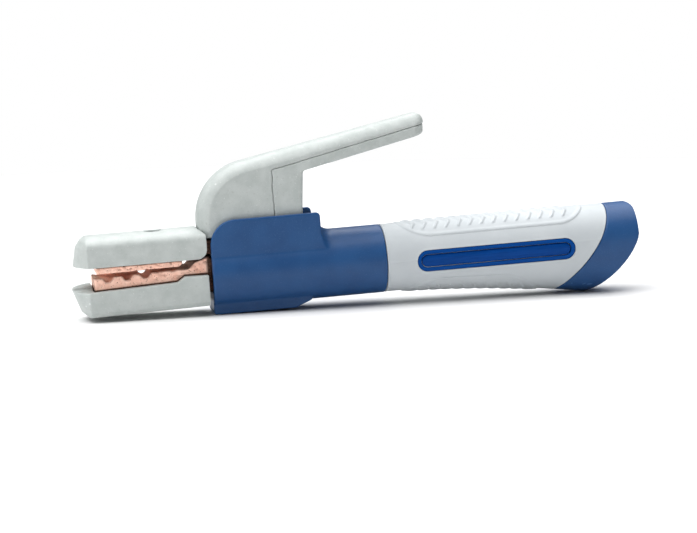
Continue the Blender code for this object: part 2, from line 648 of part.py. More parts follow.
def add_spring(holder, lever):
    x = SPRING_X
    z0, z1 = SPRING_Z
    per_turn = 14
    wire_sides = 6
    low_z = z0 + SPRING_WIRE_R
    high_z = z1 - SPRING_WIRE_R
    points = coil_points(SPRING_TURNS, SPRING_COIL_R, low_z, high_z, per_turn)
    bm = bmesh.new()
    rings = []
    for i, point in enumerate(points):
        along = points[min(i + 1, len(points) - 1)] - points[max(i - 1, 0)]
        side = Vector((point.x, point.y, 0.0)).normalized()
        up = along.normalized().cross(side)
        ring = []
        for k in range(wire_sides):
            angle = 2 * math.pi * k / wire_sides
            offset = side * math.cos(angle) * SPRING_WIRE_R + up * math.sin(angle) * SPRING_WIRE_R
            ring.append(bm.verts.new(point + offset + Vector((x, 0.0, 0.0))))
        rings.append(ring)
    for first, second in zip(rings, rings[1:]):
        for k in range(wire_sides):
            ahead = (k + 1) % wire_sides
            bm.faces.new((first[k], first[ahead], second[ahead], second[k]))
    bm.faces.new(rings[0])
    bm.faces.new(rings[-1])
    add_part("spring", bm, holder, STEEL)
    seats = (("spring_seat_lower", z0 - GAP - SEAT_THICK, holder), ("spring_seat_upper", z1 + GAP, lever))
    for name, low, frame in seats:
        add_part(name, rod(low, low + SEAT_THICK, SEAT_R, "Z", (x, 0.0, 0.0), SMALL_SIDES), frame, DARK)


# ---------------------------------------------------------------- housing


def cheek_outline():
    corner = (HOUSING_FRONT_X + CHEEK_CORNER_R, CHEEK_TOP_Z - CHEEK_CORNER_R)
    outline = [(HOUSING_FRONT_X, 0.0)] + arc(corner, CHEEK_CORNER_R, 180.0, 90.0, 8)
    rear_r = CHEEK_REAR_CORNER_R
    outline += arc((CHEEK_REAR_X - rear_r, CHEEK_TOP_Z - rear_r), rear_r, 100.0, 0.0, 4)
    outline += arc((CHEEK_END_X, CHEEK_FILLET_Z), CHEEK_FILLET_R, 190.0, 265.0, 6)
    return outline + [(CHEEK_END_X, 0.0)]


def keel_outline():
    edge = 0.0008
    outline = [(HOUSING_FRONT_X, 0.0), (HOUSING_FRONT_X, KEEL_Z + edge), (HOUSING_FRONT_X + edge, KEEL_Z)]
    return outline + [(KEEL_REAR_X, KEEL_Z), (-0.0343, -0.0148), (-0.0300, 0.0)]


def add_front_housing(holder):
    body = add_part("front_housing", rod(HOUSING_FRONT_X, 0.0, NECK_R), holder, BLUE)
    cheeks = add_object("cheeks", prism(cheek_outline(), -CHEEK_HALF, CHEEK_HALF), holder)
    combine(body, cheeks, "UNION")
    keel = add_object("keel", prism(keel_outline(), -KEEL_HALF, KEEL_HALF), holder)
    combine(body, keel, "UNION")
    slot = box(AHEAD_X, SLOT_REAR_X, -CHEEK_INNER, CHEEK_INNER, SLOT_FLOOR_Z, ABOVE_Z)
    cut(body, slot, holder, "slot")
    dip_x = (SLOT_REAR_X - 0.002, CHEEK_END_X + 0.003)
    rear_dip = box(*dip_x, -CHEEK_INNER, CHEEK_INNER, SLOT_LIP_Z, ABOVE_Z)
    cut(body, rear_dip, holder, "rear_dip")
    cut(body, rod(-0.040, 0.010, SHANK_R + GAP), holder, "shank_hole")
    cut(body, rod(TUBE_FRONT_X - GAP, 0.010, TUBE_R + GAP), holder, "tube_seat")
    screw_at = (HOUSING_SCREW_X, 0.0, 0.0)
    below_z = -0.025
    cut(body, rod(below_z, 0.0, SCREW_HOLE_R, "Z", screw_at, SMALL_SIDES), holder, "screw_hole")
    cut(body, rod(below_z, -0.0142, SCREW_RECESS_R, "Z", screw_at, SMALL_SIDES), holder, "screw_recess")
    cut(body, lock_hole(), holder, "lock_hole")
    return body


def lock_hole():
    return rod(-0.020, 0.0, LOCK_HOLE_R, "Z", (LOCK_SCREW_X, 0.0, 0.0), SMALL_SIDES)


# ---------------------------------------------------------------- handle


def handle_top_z(x):
    return GRIP_TOP_Z + GRIP_RISE * x / CAP_END_X


def handle_base_z(x):
    """Underside of grip and cap: it swells towards the cap, then rounds up to the cap's end."""
    if x <= CAP_LOW_X:
        return GRIP_FRONT_Z - (CAP_DROP + GRIP_FRONT_Z) * (x / CAP_LOW_X) ** SWELL
    share = min((x - CAP_LOW_X) / (CAP_END_X - CAP_LOW_X), 1.0)
    return CAP_HEEL_Z - (CAP_DROP + CAP_HEEL_Z) * (1.0 - share**CAP_CURVE) ** (1 / CAP_CURVE)


def handle_body(x0, x1, steps, grow=0.0):
    """Round handle between two stations, with oval sections that follow the top and the swelling base."""
    bm = bmesh.new()
    rings = []
    for i in range(steps + 1):
        x = x0 + (x1 - x0) * i / steps
        share = max(x, 0.0) / CAP_END_X
        base = handle_base_z(min(x, CAP_LOW_X)) - grow
        top = handle_top_z(x) + grow
        half_y = NECK_R + GRIP_SPREAD * share + grow
        ring = []
        for k in range(SIDES):
            angle = 2 * math.pi * k / SIDES
            reach = top if math.sin(angle) > 0 else -base
            ring.append(bm.verts.new((x, half_y * math.cos(angle), reach * math.sin(angle))))
        rings.append(ring)
    for first, second in zip(rings, rings[1:]):
        for k in range(SIDES):
            bm.faces.new((first[k], first[(k + 1) % SIDES], second[(k + 1) % SIDES], second[k]))
    bm.faces.new(rings[0])
    bm.faces.new(rings[-1])
    return bm


def cap_line(shift):
    """Seam between grip and cap in side view: upright at the top, sweeping forward below."""
    points = []
    for i in range(13):
        z = 0.022 - 0.048 * i / 12
        rise = z - SEAM_MID[1]
        x = SEAM_MID[0] + SEAM_SLOPE * rise - SEAM_CURVE * rise**2
        points.append((x + shift, z))
    return points


def cap_outline():
    """Side view of the cap: its rounded end and underside, closed by the seam."""
    corner_r = 0.0022
    outline = arc((CAP_END_X - corner_r, handle_top_z(CAP_END_X) - corner_r), corner_r, 0.0, 90.0, 4)
    outline += cap_line(GAP)
    for i in range(17):
        x = CAP_LOW_X + (CAP_END_X - CAP_LOW_X) * math.sin(math.pi / 2 * i / 16)
        outline.append((x, handle_base_z(x)))
    return outline


def pill(x0, x1, half_z, y0, y1):
    left = arc((x0 + half_z, BADGE_Z), half_z, 90.0, 270.0, 12)
    right = arc((x1 - half_z, BADGE_Z), half_z, -90.0, 90.0, 12)
    return prism(left + right, y0, y1)


def add_handle(holder):
    tube = [(TUBE_FRONT_X, TUBE_BORE_R), (TUBE_FRONT_X, TUBE_R)]
    tube += [(TUBE_END_X, TUBE_R), (TUBE_END_X, TUBE_BORE_R)]
    handle_tube = add_part("handle_tube", turned(tube), holder, BLUE)
    cut(handle_tube, lock_hole(), holder, "lock_hole")

    grip = add_part("grip_sleeve", handle_body(GAP, 0.112, 24), holder, GRIP_GREY)
    front_of_seam = [(-0.010, -0.040)] + cap_line(0.0)[::-1] + [(-0.010, 0.040)]
    keep_inside(grip, prism(front_of_seam, -BESIDE, BESIDE), holder)
    cut(grip, rod(-0.010, 0.130, TUBE_R + GAP), holder, "bore")

    cap = add_part("rear_cap", handle_body(0.055, CAP_END_X + 0.0001, 22), holder, BLUE)
    keep_inside(cap, prism(cap_outline(), -BESIDE, BESIDE), holder)
    cut(cap, rod(-0.010, TUBE_END_X + GAP, TUBE_R + GAP), holder, "tube_seat")
    cut(cap, rod(0.090, 0.130, CABLE_HOLE_R), holder, "cable_hole")

    x0, x1 = BADGE_X
    for label, side in (("left", 1.0), ("right", -1.0)):
        seat = pill(x0 - GAP, x1 + GAP, BADGE_HALF_Z + GAP, side * BADGE_SEAT_Y, side * BESIDE)
        cut(grip, seat, holder, f"badge_{label}")
        rim = pill(x0, x1, BADGE_HALF_Z, side * (BADGE_SEAT_Y + GAP), side * BESIDE)
        frame = add_part(f"badge_frame_{label}", rim, holder, BLUE)
        keep_inside(frame, handle_body(0.0, 0.100, 16, 0.0002), holder)
        inner_half = BADGE_HALF_Z - BADGE_RIM
        window = pill(x0 + BADGE_RIM, x1 - BADGE_RIM, inner_half, side * BESIDE / 2, side * BESIDE)
        cut(frame, window, holder)
        plate_half = inner_half - GAP
        plate_x = (x0 + BADGE_RIM + GAP, x1 - BADGE_RIM - GAP)
        plate = pill(*plate_x, plate_half, side * (BADGE_SEAT_Y + GAP), side * BESIDE)
        badge_plate = add_part(f"badge_plate_{label}", plate, holder, BADGE_BLUE)
        keep_inside(badge_plate, handle_body(0.0, 0.100, 16, -BADGE_RECESS), holder)


def add_cable_socket(holder):
    x0, x1 = SOCKET_X
    spigot_end_x = SHANK_END_X + 2 * GAP
    profile = [(x0, SHANK_R + GAP), (x0, SOCKET_R), (x1, SOCKET_R), (x1, SOCKET_BORE_R)]
    vent_r = 0.002
    profile += [(SOCKET_STOP_X, SOCKET_BORE_R), (SOCKET_STOP_X, vent_r), (spigot_end_x, vent_r)]
    profile += [(spigot_end_x, SHANK_R + GAP)]
    socket = add_part("cable_socket", turned(profile), holder, BRASS)
    for i, x in enumerate(CABLE_SCREW_XS):
        at = (x, 0.0, 0.0)
        hole = rod(0.002, 0.015, CABLE_SCREW_R + GAP, "Z", at, SMALL_SIDES)
        cut(socket, hole, holder, f"screw_hole{i}")
        grub = rod(0.0058, SOCKET_R, CABLE_SCREW_R, "Z", at, SMALL_SIDES)
        grub_screw = add_part(f"cable_screw_{i + 1}", grub, holder, STEEL)
        key = rod(0.0075, 0.012, 0.0016, "Z", at, 6)
        cut(grub_screw, key, holder, "hex_socket")
    plate = box(CABLE_SCREW_XS[0] - 0.005, CABLE_SCREW_XS[1] + 0.005, -0.0036, 0.0036, 0.0045, 0.0055)
    add_part("cable_pressure_plate", plate, holder, COPPER)


def add_screws(holder, lever):
    jaw_at = (JAW_SCREW_X, 0.0, 0.0)
    housing_at = (HOUSING_SCREW_X, 0.0, 0.0)
    lock_at = (LOCK_SCREW_X, 0.0, 0.0)
    screw("lower_insulator_screw", holder, jaw_at, -0.0020, -0.0109, -0.0128)
    screw("upper_insulator_screw", lever, jaw_at, 0.0066, 0.0165, 0.0190)
    screw("housing_screw", holder, housing_at, -0.0020, -0.0145, -0.0170)
    lock_radii = (LOCK_SCREW_R, LOCK_SCREW_HEAD_R)
    screw("handle_lock_screw", holder, lock_at, -SHANK_R - GAP, -0.0140, -0.0152, *lock_radii)
    cover_radii = (COVER_SCREW_R, COVER_HEAD_R)
    for i, x in enumerate(COVER_SCREW_XS):
        at = (x, 0.0, lever_under_z(x))
        screw(f"lever_cover_screw_{i + 1}", lever, at, 0.0076, 0.0013, 0.0001, *cover_radii, -UNDER_SLOPE)


def main():
    clear_scene()
    holder_empty = bpy.data.objects.new("holder_frame", None)
    lever_empty = bpy.data.objects.new("lever_axis", None)
    for empty in (holder_empty, lever_empty):
        bpy.context.scene.collection.objects.link(empty)
    holder_empty.location = RING_AT
    lever_empty.parent = holder_empty
    lever_empty.location = PIVOT
    holder = {"empty": holder_empty, "origin": Vector((0.0, 0.0, 0.0))}
    lever = {"empty": lever_empty, "origin": PIVOT}

    add_lower_jaw(holder)
    add_lower_insulator(holder)
    add_front_housing(holder)
    add_handle(holder)
    add_cable_socket(holder)
    add_lever_core(lever)
    add_upper_jaw(lever)
    add_upper_insulator(lever)
    add_lever_shell(lever)
    add_under_cover(lever)
    add_pivot(holder, lever)
    add_spring(holder, lever)
    add_screws(holder, lever)


main()
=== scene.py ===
import math

import bmesh
import bpy
import numpy as np
from mathutils import Matrix, Vector, noise


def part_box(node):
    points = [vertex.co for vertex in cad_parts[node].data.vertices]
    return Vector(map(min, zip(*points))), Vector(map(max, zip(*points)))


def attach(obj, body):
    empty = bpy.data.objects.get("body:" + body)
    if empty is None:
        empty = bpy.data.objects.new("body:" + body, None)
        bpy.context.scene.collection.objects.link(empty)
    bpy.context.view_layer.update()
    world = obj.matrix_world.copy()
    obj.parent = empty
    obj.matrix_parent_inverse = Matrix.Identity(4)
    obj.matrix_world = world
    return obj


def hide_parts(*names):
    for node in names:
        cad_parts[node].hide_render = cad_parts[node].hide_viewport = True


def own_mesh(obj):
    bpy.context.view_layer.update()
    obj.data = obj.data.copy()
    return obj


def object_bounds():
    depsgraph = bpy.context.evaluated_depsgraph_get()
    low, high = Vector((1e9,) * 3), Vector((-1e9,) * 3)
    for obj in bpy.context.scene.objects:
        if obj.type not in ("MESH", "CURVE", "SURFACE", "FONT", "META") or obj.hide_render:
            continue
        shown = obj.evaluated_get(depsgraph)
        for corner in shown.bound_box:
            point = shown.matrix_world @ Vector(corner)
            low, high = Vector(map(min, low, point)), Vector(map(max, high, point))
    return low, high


# Looks of the electrode holder: fine meshes, materials, floor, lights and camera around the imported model.
#
# Shapes are drawn in millimetres in the handle frame. Its origin is on the handle's axis, at the ring where
# the blue neck meets the grip. +X runs to the cable end, +Y to the left side and +Z up to the lever.

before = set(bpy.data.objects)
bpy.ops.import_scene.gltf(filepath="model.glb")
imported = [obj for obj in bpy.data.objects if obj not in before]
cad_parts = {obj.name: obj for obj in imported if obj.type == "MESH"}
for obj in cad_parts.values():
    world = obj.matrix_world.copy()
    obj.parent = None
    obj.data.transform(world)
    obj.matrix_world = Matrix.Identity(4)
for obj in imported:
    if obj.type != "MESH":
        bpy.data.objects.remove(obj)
CAD_LOW, CAD_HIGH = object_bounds()

MM = 0.001
GAP = 0.3  # clearance between pieces
BESIDE = 30.0  # clear of every piece, for shapes that only cut
ABOVE = 40.0
UP = Vector((0.0, 0.0, 1.0))

# ------------------------------ places, from the frame

ring_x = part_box("front_housing")[1].x
tube_low, tube_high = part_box("handle_tube")
RING = Vector((ring_x, 0.0, (tube_low.z + tube_high.z) / 2))
FROM_HANDLE = Matrix.Translation(RING) @ Matrix.Scale(MM, 4)
TO_HANDLE = FROM_HANDLE.inverted()


def span(node):
    """Lowest and highest corner of a CAD node, in the handle frame."""
    low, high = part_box(node)
    return TO_HANDLE @ low, TO_HANDLE @ high


HOUSING = span("front_housing")
TUBE = span("handle_tube")
GRIP = span("grip_sleeve")
CAP = span("rear_cap")
BADGE = span("badge_frame_right")
UPPER = span("upper_jaw_insulator")
SHELL = span("lever_shell")
JAW = span("lower_jaw")
PIN = span("pivot_pin")
SPRING = span("spring")
JAW_SCREW = span("upper_insulator_screw")
CAVITY_HALF = JAW[1].y + GAP  # the jaws sit in pockets of the insulators

NECK_R = 15.5
TUBE_R = TUBE[1].z
SHANK_R = 6.0
PIVOT = Vector(((PIN[0].x + PIN[1].x) / 2, 0.0, (PIN[0].z + PIN[1].z) / 2))

# ------------------------------ meshes: helpers


def arc(centre, radius, start_deg, end_deg, steps):
    """Points along an arc in a plane."""
    angles = (math.radians(start_deg + (end_deg - start_deg) * i / steps) for i in range(steps + 1))
    return [(centre[0] + radius * math.cos(a), centre[1] + radius * math.sin(a)) for a in angles]


def smoothstep(low, high, value):
    """0 below low, 1 above high and a smooth rise between them. It falls where low is the greater."""
    share = np.clip((value - low) / (high - low), 0.0, 1.0)
    return share * share * (3.0 - 2.0 * share)


def prism(outline, start, end, axis="Y"):
    """An outline extruded along an axis: (x, z) along Y, (y, z) along X, (x, y) along Z."""
    place = {
        "Y": lambda u, v, w: (u, w, v),
        "X": lambda u, v, w: (w, u, v),
        "Z": lambda u, v, w: (u, v, w),
    }[axis]
    bm = bmesh.new()
    first = [bm.verts.new(place(u, v, start)) for u, v in outline]
    last = [bm.verts.new(place(u, v, end)) for u, v in outline]
    bm.faces.new(first)
    bm.faces.new(last)
    for i in range(len(first)):
        k = (i + 1) % len(first)
        bm.faces.new((first[i], first[k], last[k], last[i]))
    bmesh.ops.recalc_face_normals(bm, faces=bm.faces)
    return bm


def box(x0, x1, y0, y1, z0, z1):
    """A straight block between its lowest and highest x, y and z."""
    return prism([(x0, z0), (x1, z0), (x1, z1), (x0, z1)], y0, y1)


def rod(start, end, radius, axis="X", at=(0.0, 0.0, 0.0), sides=128):
    """A round bar along an axis, from start to end beyond its place."""
    order = {"X": (1, 2, 0), "Y": (0, 2, 1), "Z": (0, 1, 2)}[axis]
    centre = (at[order[0]], at[order[1]])
    circle = arc(centre, radius, 0.0, 360.0, sides)[:-1]
    return prism(circle, at[order[2]] + start, at[order[2]] + end, axis)


def hull(points):
    """The smallest solid without hollows that holds all the points."""
    bm = bmesh.new()
    for point in points:
        bm.verts.new(point)
    made = bmesh.ops.convex_hull(bm, input=bm.verts)
    spare = [v for v in made["geom_interior"] if isinstance(v, bmesh.types.BMVert)]
    bmesh.ops.delete(bm, geom=spare, context="VERTS")
    bmesh.ops.recalc_face_normals(bm, faces=bm.faces)
    return bm


def cad_shape(node):
    """A copy of a CAD node's shape in the handle frame, to be worked on."""
    bm = bmesh.new()
    bm.from_mesh(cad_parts[node].data)
    bm.transform(TO_HANDLE)
    bmesh.ops.remove_doubles(bm, verts=bm.verts, dist=0.002)
    bmesh.ops.recalc_face_normals(bm, faces=bm.faces)
    return bm


def skin(rows, loop_rows=False):
    """A mesh over rows of points. Each row is a closed ring. The rows meet again, or close at flat ends."""
    rows = np.asarray(rows, float)
    count, around = rows.shape[:2]
    index = np.arange(count * around).reshape(count, around)
    below = index if loop_rows else index[:-1]
    above = np.roll(index, -1, axis=0) if loop_rows else index[1:]
    quads = np.stack([below, np.roll(below, -1, 1), np.roll(above, -1, 1), above], axis=-1)
    faces = quads.reshape(-1, 4).tolist()
    if not loop_rows:
        faces += [index[0].tolist(), index[-1].tolist()]
    mesh = bpy.data.meshes.new("skin")
    mesh.from_pydata(rows.reshape(-1, 3).tolist(), [], faces)
    bm = bmesh.new()
    bm.from_mesh(mesh)
    bpy.data.meshes.remove(mesh)
    bmesh.ops.recalc_face_normals(bm, faces=bm.faces)
    return bm


def scratch(bm):
    """An object to work on, which is deleted once its shape is made."""
    mesh = bpy.data.meshes.new("scratch")
    bm.to_mesh(mesh)
    bm.free()
    obj = bpy.data.objects.new("scratch", mesh)
    bpy.context.scene.collection.objects.link(obj)
    return obj


def worked(bm, joins=(), keeps=(), cuts=(), voxel=0.0, smooth=0):
    """The shape after its Booleans, remeshed and smoothed like a casting where a voxel size is given."""
    obj = scratch(bm)
    tools = []
    for operation, shapes in (("UNION", joins), ("INTERSECT", keeps), ("DIFFERENCE", cuts)):
        for shape in shapes:
            tools.append(scratch(shape))
            modifier = obj.modifiers.new(operation, "BOOLEAN")
            modifier.operation = operation
            modifier.solver = "MANIFOLD"
            modifier.object = tools[-1]
    if voxel:
        remesh = obj.modifiers.new("voxels", "REMESH")
        remesh.mode = "VOXEL"
        remesh.voxel_size = voxel
        soften = obj.modifiers.new("soften", "SMOOTH")
        soften.factor = 0.5
        soften.iterations = smooth
    graph = bpy.context.evaluated_depsgraph_get()
    mesh = bpy.data.meshes.new_from_object(obj.evaluated_get(graph))
    for spare in [obj, *tools]:
        bpy.data.objects.remove(spare)
    return mesh


def roughen(mesh, height, size, octaves=3, pits=0.0, pit_size=2.0):
    """Moves a mesh's points along their normals by a rough cast surface, with pits where asked."""
    count = len(mesh.vertices)
    points = np.empty(count * 3)
    normals = np.empty(count * 3)
    mesh.vertices.foreach_get("co", points)
    mesh.vertex_normals.foreach_get("vector", normals)
    points, normals = points.reshape(-1, 3), normals.reshape(-1, 3)
    rise = np.array([noise.fractal(Vector(p / size), 1.0, 2.0, octaves) for p in points]) * height
    if pits:
        depth = np.array([noise.noise(Vector(p / pit_size)) for p in points])
        rise -= pits * np.clip((depth - 0.25) / 0.5, 0.0, None)
    mesh.vertices.foreach_set("co", (points + normals * rise[:, None]).ravel())
    mesh.update()


def piece(name, mesh, body, slot, material, *nodes, sharp_deg=180.0):
    """Puts a mesh drawn in the handle frame in place, instead of its CAD nodes."""
    mesh.transform(FROM_HANDLE)
    mesh.name = name
    mesh.materials.clear()
    mesh.materials.append(material)
    mesh.shade_smooth()
    if sharp_deg < 180.0:
        mesh.set_sharp_from_angle(angle=math.radians(sharp_deg))
    obj = bpy.data.objects.new(name, mesh)
    bpy.context.scene.collection.objects.link(obj)
    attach(obj, body)
    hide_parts(*nodes)
    if sharp_deg < 180.0:
        flatten = obj.modifiers.new("flat faces", "WEIGHTED_NORMAL")
        flatten.keep_sharp = True
    return obj


# ------------------------------ materials


def add_node(tree, kind, inputs=None, **settings):
    """Adds a shader node. An input is a plain value or another node's output."""
    made = tree.nodes.new(kind)
    for key, value in settings.items():
        setattr(made, key, value)
    for key, value in (inputs or {}).items():
        if isinstance(value, bpy.types.NodeSocket):
            tree.links.new(value, made.inputs[key])
        else:
            made.inputs[key].default_value = value
    return made


def new_material(name, sockets=None):
    """A material with a Principled shader, and the coordinates that its patterns are drawn in."""
    material = bpy.data.materials.new(name)
    material.use_nodes = True
    tree = material.node_tree
    shader = tree.nodes["Principled BSDF"]
    for key, value in (sockets or {}).items():
        shader.inputs[key].default_value = value
    coordinates = add_node(tree, "ShaderNodeTexCoord")
    return material, tree, shader, coordinates.outputs["Object"]


def grain(tree, where, size_mm, detail=3.0, rough=0.55, stretch=None):
    """Noise whose features are about size_mm across. stretch lengthens them along the axes."""
    if stretch:
        scale = [1.0 / s for s in stretch]
        where = add_node(tree, "ShaderNodeMapping", {"Vector": where, "Scale": scale}).outputs["Vector"]
    inputs = {"Vector": where, "Scale": 1.0 / (size_mm * MM), "Detail": detail, "Roughness": rough}
    return add_node(tree, "ShaderNodeTexNoise", inputs).outputs["Fac"]


def remap(tree, value, low, high, to_low=0.0, to_high=1.0):
    """A value moved from the range low to high into another range, and held at that range's ends."""
    inputs = {"Value": value, "From Min": low, "From Max": high, "To Min": to_low, "To Max": to_high}
    return add_node(tree, "ShaderNodeMapRange", inputs).outputs["Result"]


def mixed(tree, share, first, second):
    """A colour between two colours."""
    mix = add_node(tree, "ShaderNodeMix", data_type="RGBA")
    for socket, value in ((0, share), (6, first), (7, second)):
        if isinstance(value, bpy.types.NodeSocket):
            tree.links.new(value, mix.inputs[socket])
        elif socket:
            mix.inputs[socket].default_value = (*value, 1.0)
        else:
            mix.inputs[socket].default_value = value
    return mix.outputs[2]


def bumped(tree, shader, layers):
    """Bump from (height, depth in mm) layers, one on top of another."""
    normal = None
    for height, depth in layers:
        inputs = {"Height": height, "Distance": depth * MM, "Strength": 1.0}
        if normal:
            inputs["Normal"] = normal
        normal = add_node(tree, "ShaderNodeBump", inputs).outputs["Normal"]
    tree.links.new(normal, shader.inputs["Normal"])


def edge_wear(tree, low=0.52, high=0.62):
    """1 on worn outer edges, 0 elsewhere."""
    geometry = add_node(tree, "ShaderNodeNewGeometry")
    return remap(tree, geometry.outputs["Pointiness"], low, high)


def blue_plastic():
    """Hard dark blue plastic with a fine spark-eroded grain, rubbed lighter on its edges."""
    material, tree, shader, where = new_material("blue_plastic", {"IOR": 1.48, "Specular IOR Level": 0.35})
    cloudy = remap(tree, grain(tree, where, 14.0, 2.0), 0.35, 0.65)
    fine = grain(tree, where, 0.45, 2.0)
    body = mixed(tree, cloudy, (0.010, 0.060, 0.185), (0.014, 0.074, 0.215))
    speckled = mixed(tree, remap(tree, fine, 0.60, 0.72, 0.0, 0.30), body, (0.070, 0.145, 0.310))
    colour = mixed(tree, edge_wear(tree, 0.53, 0.66), speckled, (0.060, 0.150, 0.360))
    tree.links.new(colour, shader.inputs["Base Color"])
    scuffs = grain(tree, where, 5.0, 4.0, 0.7, (3.0, 1.0, 1.0))
    tree.links.new(remap(tree, scuffs, 0.35, 0.70, 0.48, 0.36), shader.inputs["Roughness"])
    bumped(tree, shader, [(fine, 0.030), (grain(tree, where, 1.4, 2.0), 0.030)])
    return material


def grey_moulding():
    """Matt glass-filled insulating moulding: pale grey-green, mottled, with small dark and pale flecks."""
    material, tree, shader, where = new_material("grey_moulding", {"IOR": 1.5})
    cloudy = remap(tree, grain(tree, where, 6.0, 4.0, 0.6), 0.35, 0.65)
    body = mixed(tree, cloudy, (0.427, 0.465, 0.452), (0.498, 0.534, 0.521))
    flecks = grain(tree, where, 0.9, 2.0)
    dark = mixed(tree, remap(tree, flecks, 0.36, 0.27, 0.0, 0.45), body, (0.330, 0.350, 0.330))
    pale = mixed(tree, remap(tree, flecks, 0.66, 0.75, 0.0, 0.50), dark, (0.760, 0.780, 0.760))
    colour = mixed(tree, edge_wear(tree, 0.53, 0.68), pale, (0.700, 0.730, 0.715))
    tree.links.new(colour, shader.inputs["Base Color"])
    tree.links.new(remap(tree, flecks, 0.3, 0.7, 0.42, 0.60), shader.inputs["Roughness"])
    bumped(tree, shader, [(grain(tree, where, 0.7, 3.0), 0.014), (grain(tree, where, 4.0, 2.0), 0.03)])
    return material


def soft_grip_grey():
    """Soft rubber-like grip: pale cool grey with a silky, very fine grain."""
    material, tree, shader, where = new_material(
        "soft_grip_grey", {"IOR": 1.45, "Sheen Weight": 0.25, "Sheen Roughness": 0.5}
    )
    cloudy = remap(tree, grain(tree, where, 18.0, 3.0), 0.35, 0.65)
    body = mixed(tree, cloudy, (0.498, 0.535, 0.560), (0.539, 0.575, 0.598))
    handled = grain(tree, where, 3.0, 4.0, 0.7)
    colour = mixed(tree, remap(tree, handled, 0.62, 0.80, 0.0, 0.20), body, (0.500, 0.520, 0.520))
    tree.links.new(colour, shader.inputs["Base Color"])
    tree.links.new(remap(tree, handled, 0.3, 0.7, 0.50, 0.62), shader.inputs["Roughness"])
    bumped(tree, shader, [(grain(tree, where, 0.35, 2.0), 0.018), (grain(tree, where, 2.2, 2.0), 0.02)])
    return material


def badge_blue(name, deep, light, roughness):
    """Saturated blue of the badge, with a faint brushed sheen. It gives off little white gloss."""
    material, tree, shader, where = new_material(name, {"Specular IOR Level": 0.06})
    brushed = grain(tree, where, 1.0, 3.0, 0.6, (12.0, 1.0, 0.5))
    colour = mixed(tree, remap(tree, brushed, 0.3, 0.7), deep, light)
    tree.links.new(colour, shader.inputs["Base Color"])
    spread = remap(tree, brushed, 0.3, 0.7, roughness, roughness + 0.12)
    tree.links.new(spread, shader.inputs["Roughness"])
    bumped(tree, shader, [(grain(tree, where, 5.0, 1.0), 0.03)])
    return material


def rim_painted_shade(tree, where):
    """How much painted shade darkens the copper along the rim of the grey trough, which rises in a slope
    and then a step: strong up to 0.4 mm above the rim and gone by 0.85 mm.
    """
    place = add_node(tree, "ShaderNodeSeparateXYZ", {"Vector": where})
    front_x, step_x, rear_x = (RING.x + x * MM for x in (JAW_FRONT, *RIM_STEP_X))
    slope = remap(tree, place.outputs["X"], front_x, step_x, RIM_Z[0] * MM, RIM_Z[1] * MM)
    step = remap(tree, place.outputs["X"], step_x, rear_x, 0.0, (RIM_Z[2] - RIM_Z[1]) * MM)
    rim = add_node(tree, "ShaderNodeMath", {0: slope, 1: step}, operation="ADD")
    heights = {0: place.outputs["Z"], 1: rim.outputs[0]}
    above = add_node(tree, "ShaderNodeMath", heights, operation="SUBTRACT")
    return remap(tree, above.outputs[0], RING.z + 0.40 * MM, RING.z + 0.85 * MM, 0.9, 0.0)


def cast_copper(name, shade_from):
    """Rough cast copper with dark pits, scratches and heat stains. Behind the given x it is painted nearly
    black as painted shade, and along the grey trough's rim it has a band of painted shade.
    """
    material, tree, shader, where = new_material(name, {"Metallic": 1.0})
    stain = remap(tree, grain(tree, where, 5.0, 4.0, 0.65), 0.40, 0.66)
    body = mixed(tree, stain, (0.980, 0.650, 0.530), (0.900, 0.520, 0.400))
    pits = grain(tree, where, 0.8, 3.0, 0.6)
    pitted = mixed(tree, remap(tree, pits, 0.40, 0.30, 0.0, 0.85), body, (0.160, 0.065, 0.040))
    geometry = add_node(tree, "ShaderNodeNewGeometry")
    hollow = remap(tree, geometry.outputs["Pointiness"], 0.49, 0.42, 0.0, 0.7)
    dirty = mixed(tree, hollow, pitted, (0.170, 0.070, 0.045))
    worn = mixed(tree, edge_wear(tree, 0.53, 0.62), dirty, (1.000, 0.780, 0.680))
    # Painted shade: behind the given x the copper turns nearly black, where it lies inside the housing and
    # behind the insulators.
    along = add_node(tree, "ShaderNodeSeparateXYZ", {"Vector": where}).outputs["X"]
    start = RING.x + shade_from * MM
    painted_shade = remap(tree, along, start - 0.8 * MM, start + 0.3 * MM, 0.0, 0.96)
    # Nearly black colour of the painted shade, also used for the painted shade along the trough's rim.
    shade_colour = mixed(tree, remap(tree, pits, 0.40, 0.62), (0.016, 0.009, 0.007), (0.080, 0.038, 0.026))
    # Painted shade: a dark band on the copper just above the rim of the grey trough.
    rim_shaded = mixed(tree, rim_painted_shade(tree, where), worn, shade_colour)
    tree.links.new(mixed(tree, painted_shade, rim_shaded, shade_colour), shader.inputs["Base Color"])
    tree.links.new(remap(tree, pits, 0.30, 0.65, 0.62, 0.40), shader.inputs["Roughness"])
    scratches = grain(tree, where, 0.5, 3.0, 0.6, (7.0, 1.0, 1.0))
    bumped(tree, shader, [(pits, 0.10), (scratches, 0.03)])
    return material


def brass_metal():
    """Turned brass, slightly tarnished."""
    material, tree, shader, where = new_material("turned_brass", {"Metallic": 1.0})
    tarnish = remap(tree, grain(tree, where, 4.0, 4.0), 0.40, 0.65)
    colour = mixed(tree, tarnish, (0.780, 0.560, 0.250), (0.560, 0.370, 0.140))
    tree.links.new(colour, shader.inputs["Base Color"])
    turning = grain(tree, where, 0.3, 2.0, 0.5, (0.4, 4.0, 4.0))
    tree.links.new(remap(tree, tarnish, 0.0, 1.0, 0.26, 0.45), shader.inputs["Roughness"])
    bumped(tree, shader, [(turning, 0.02)])
    return material


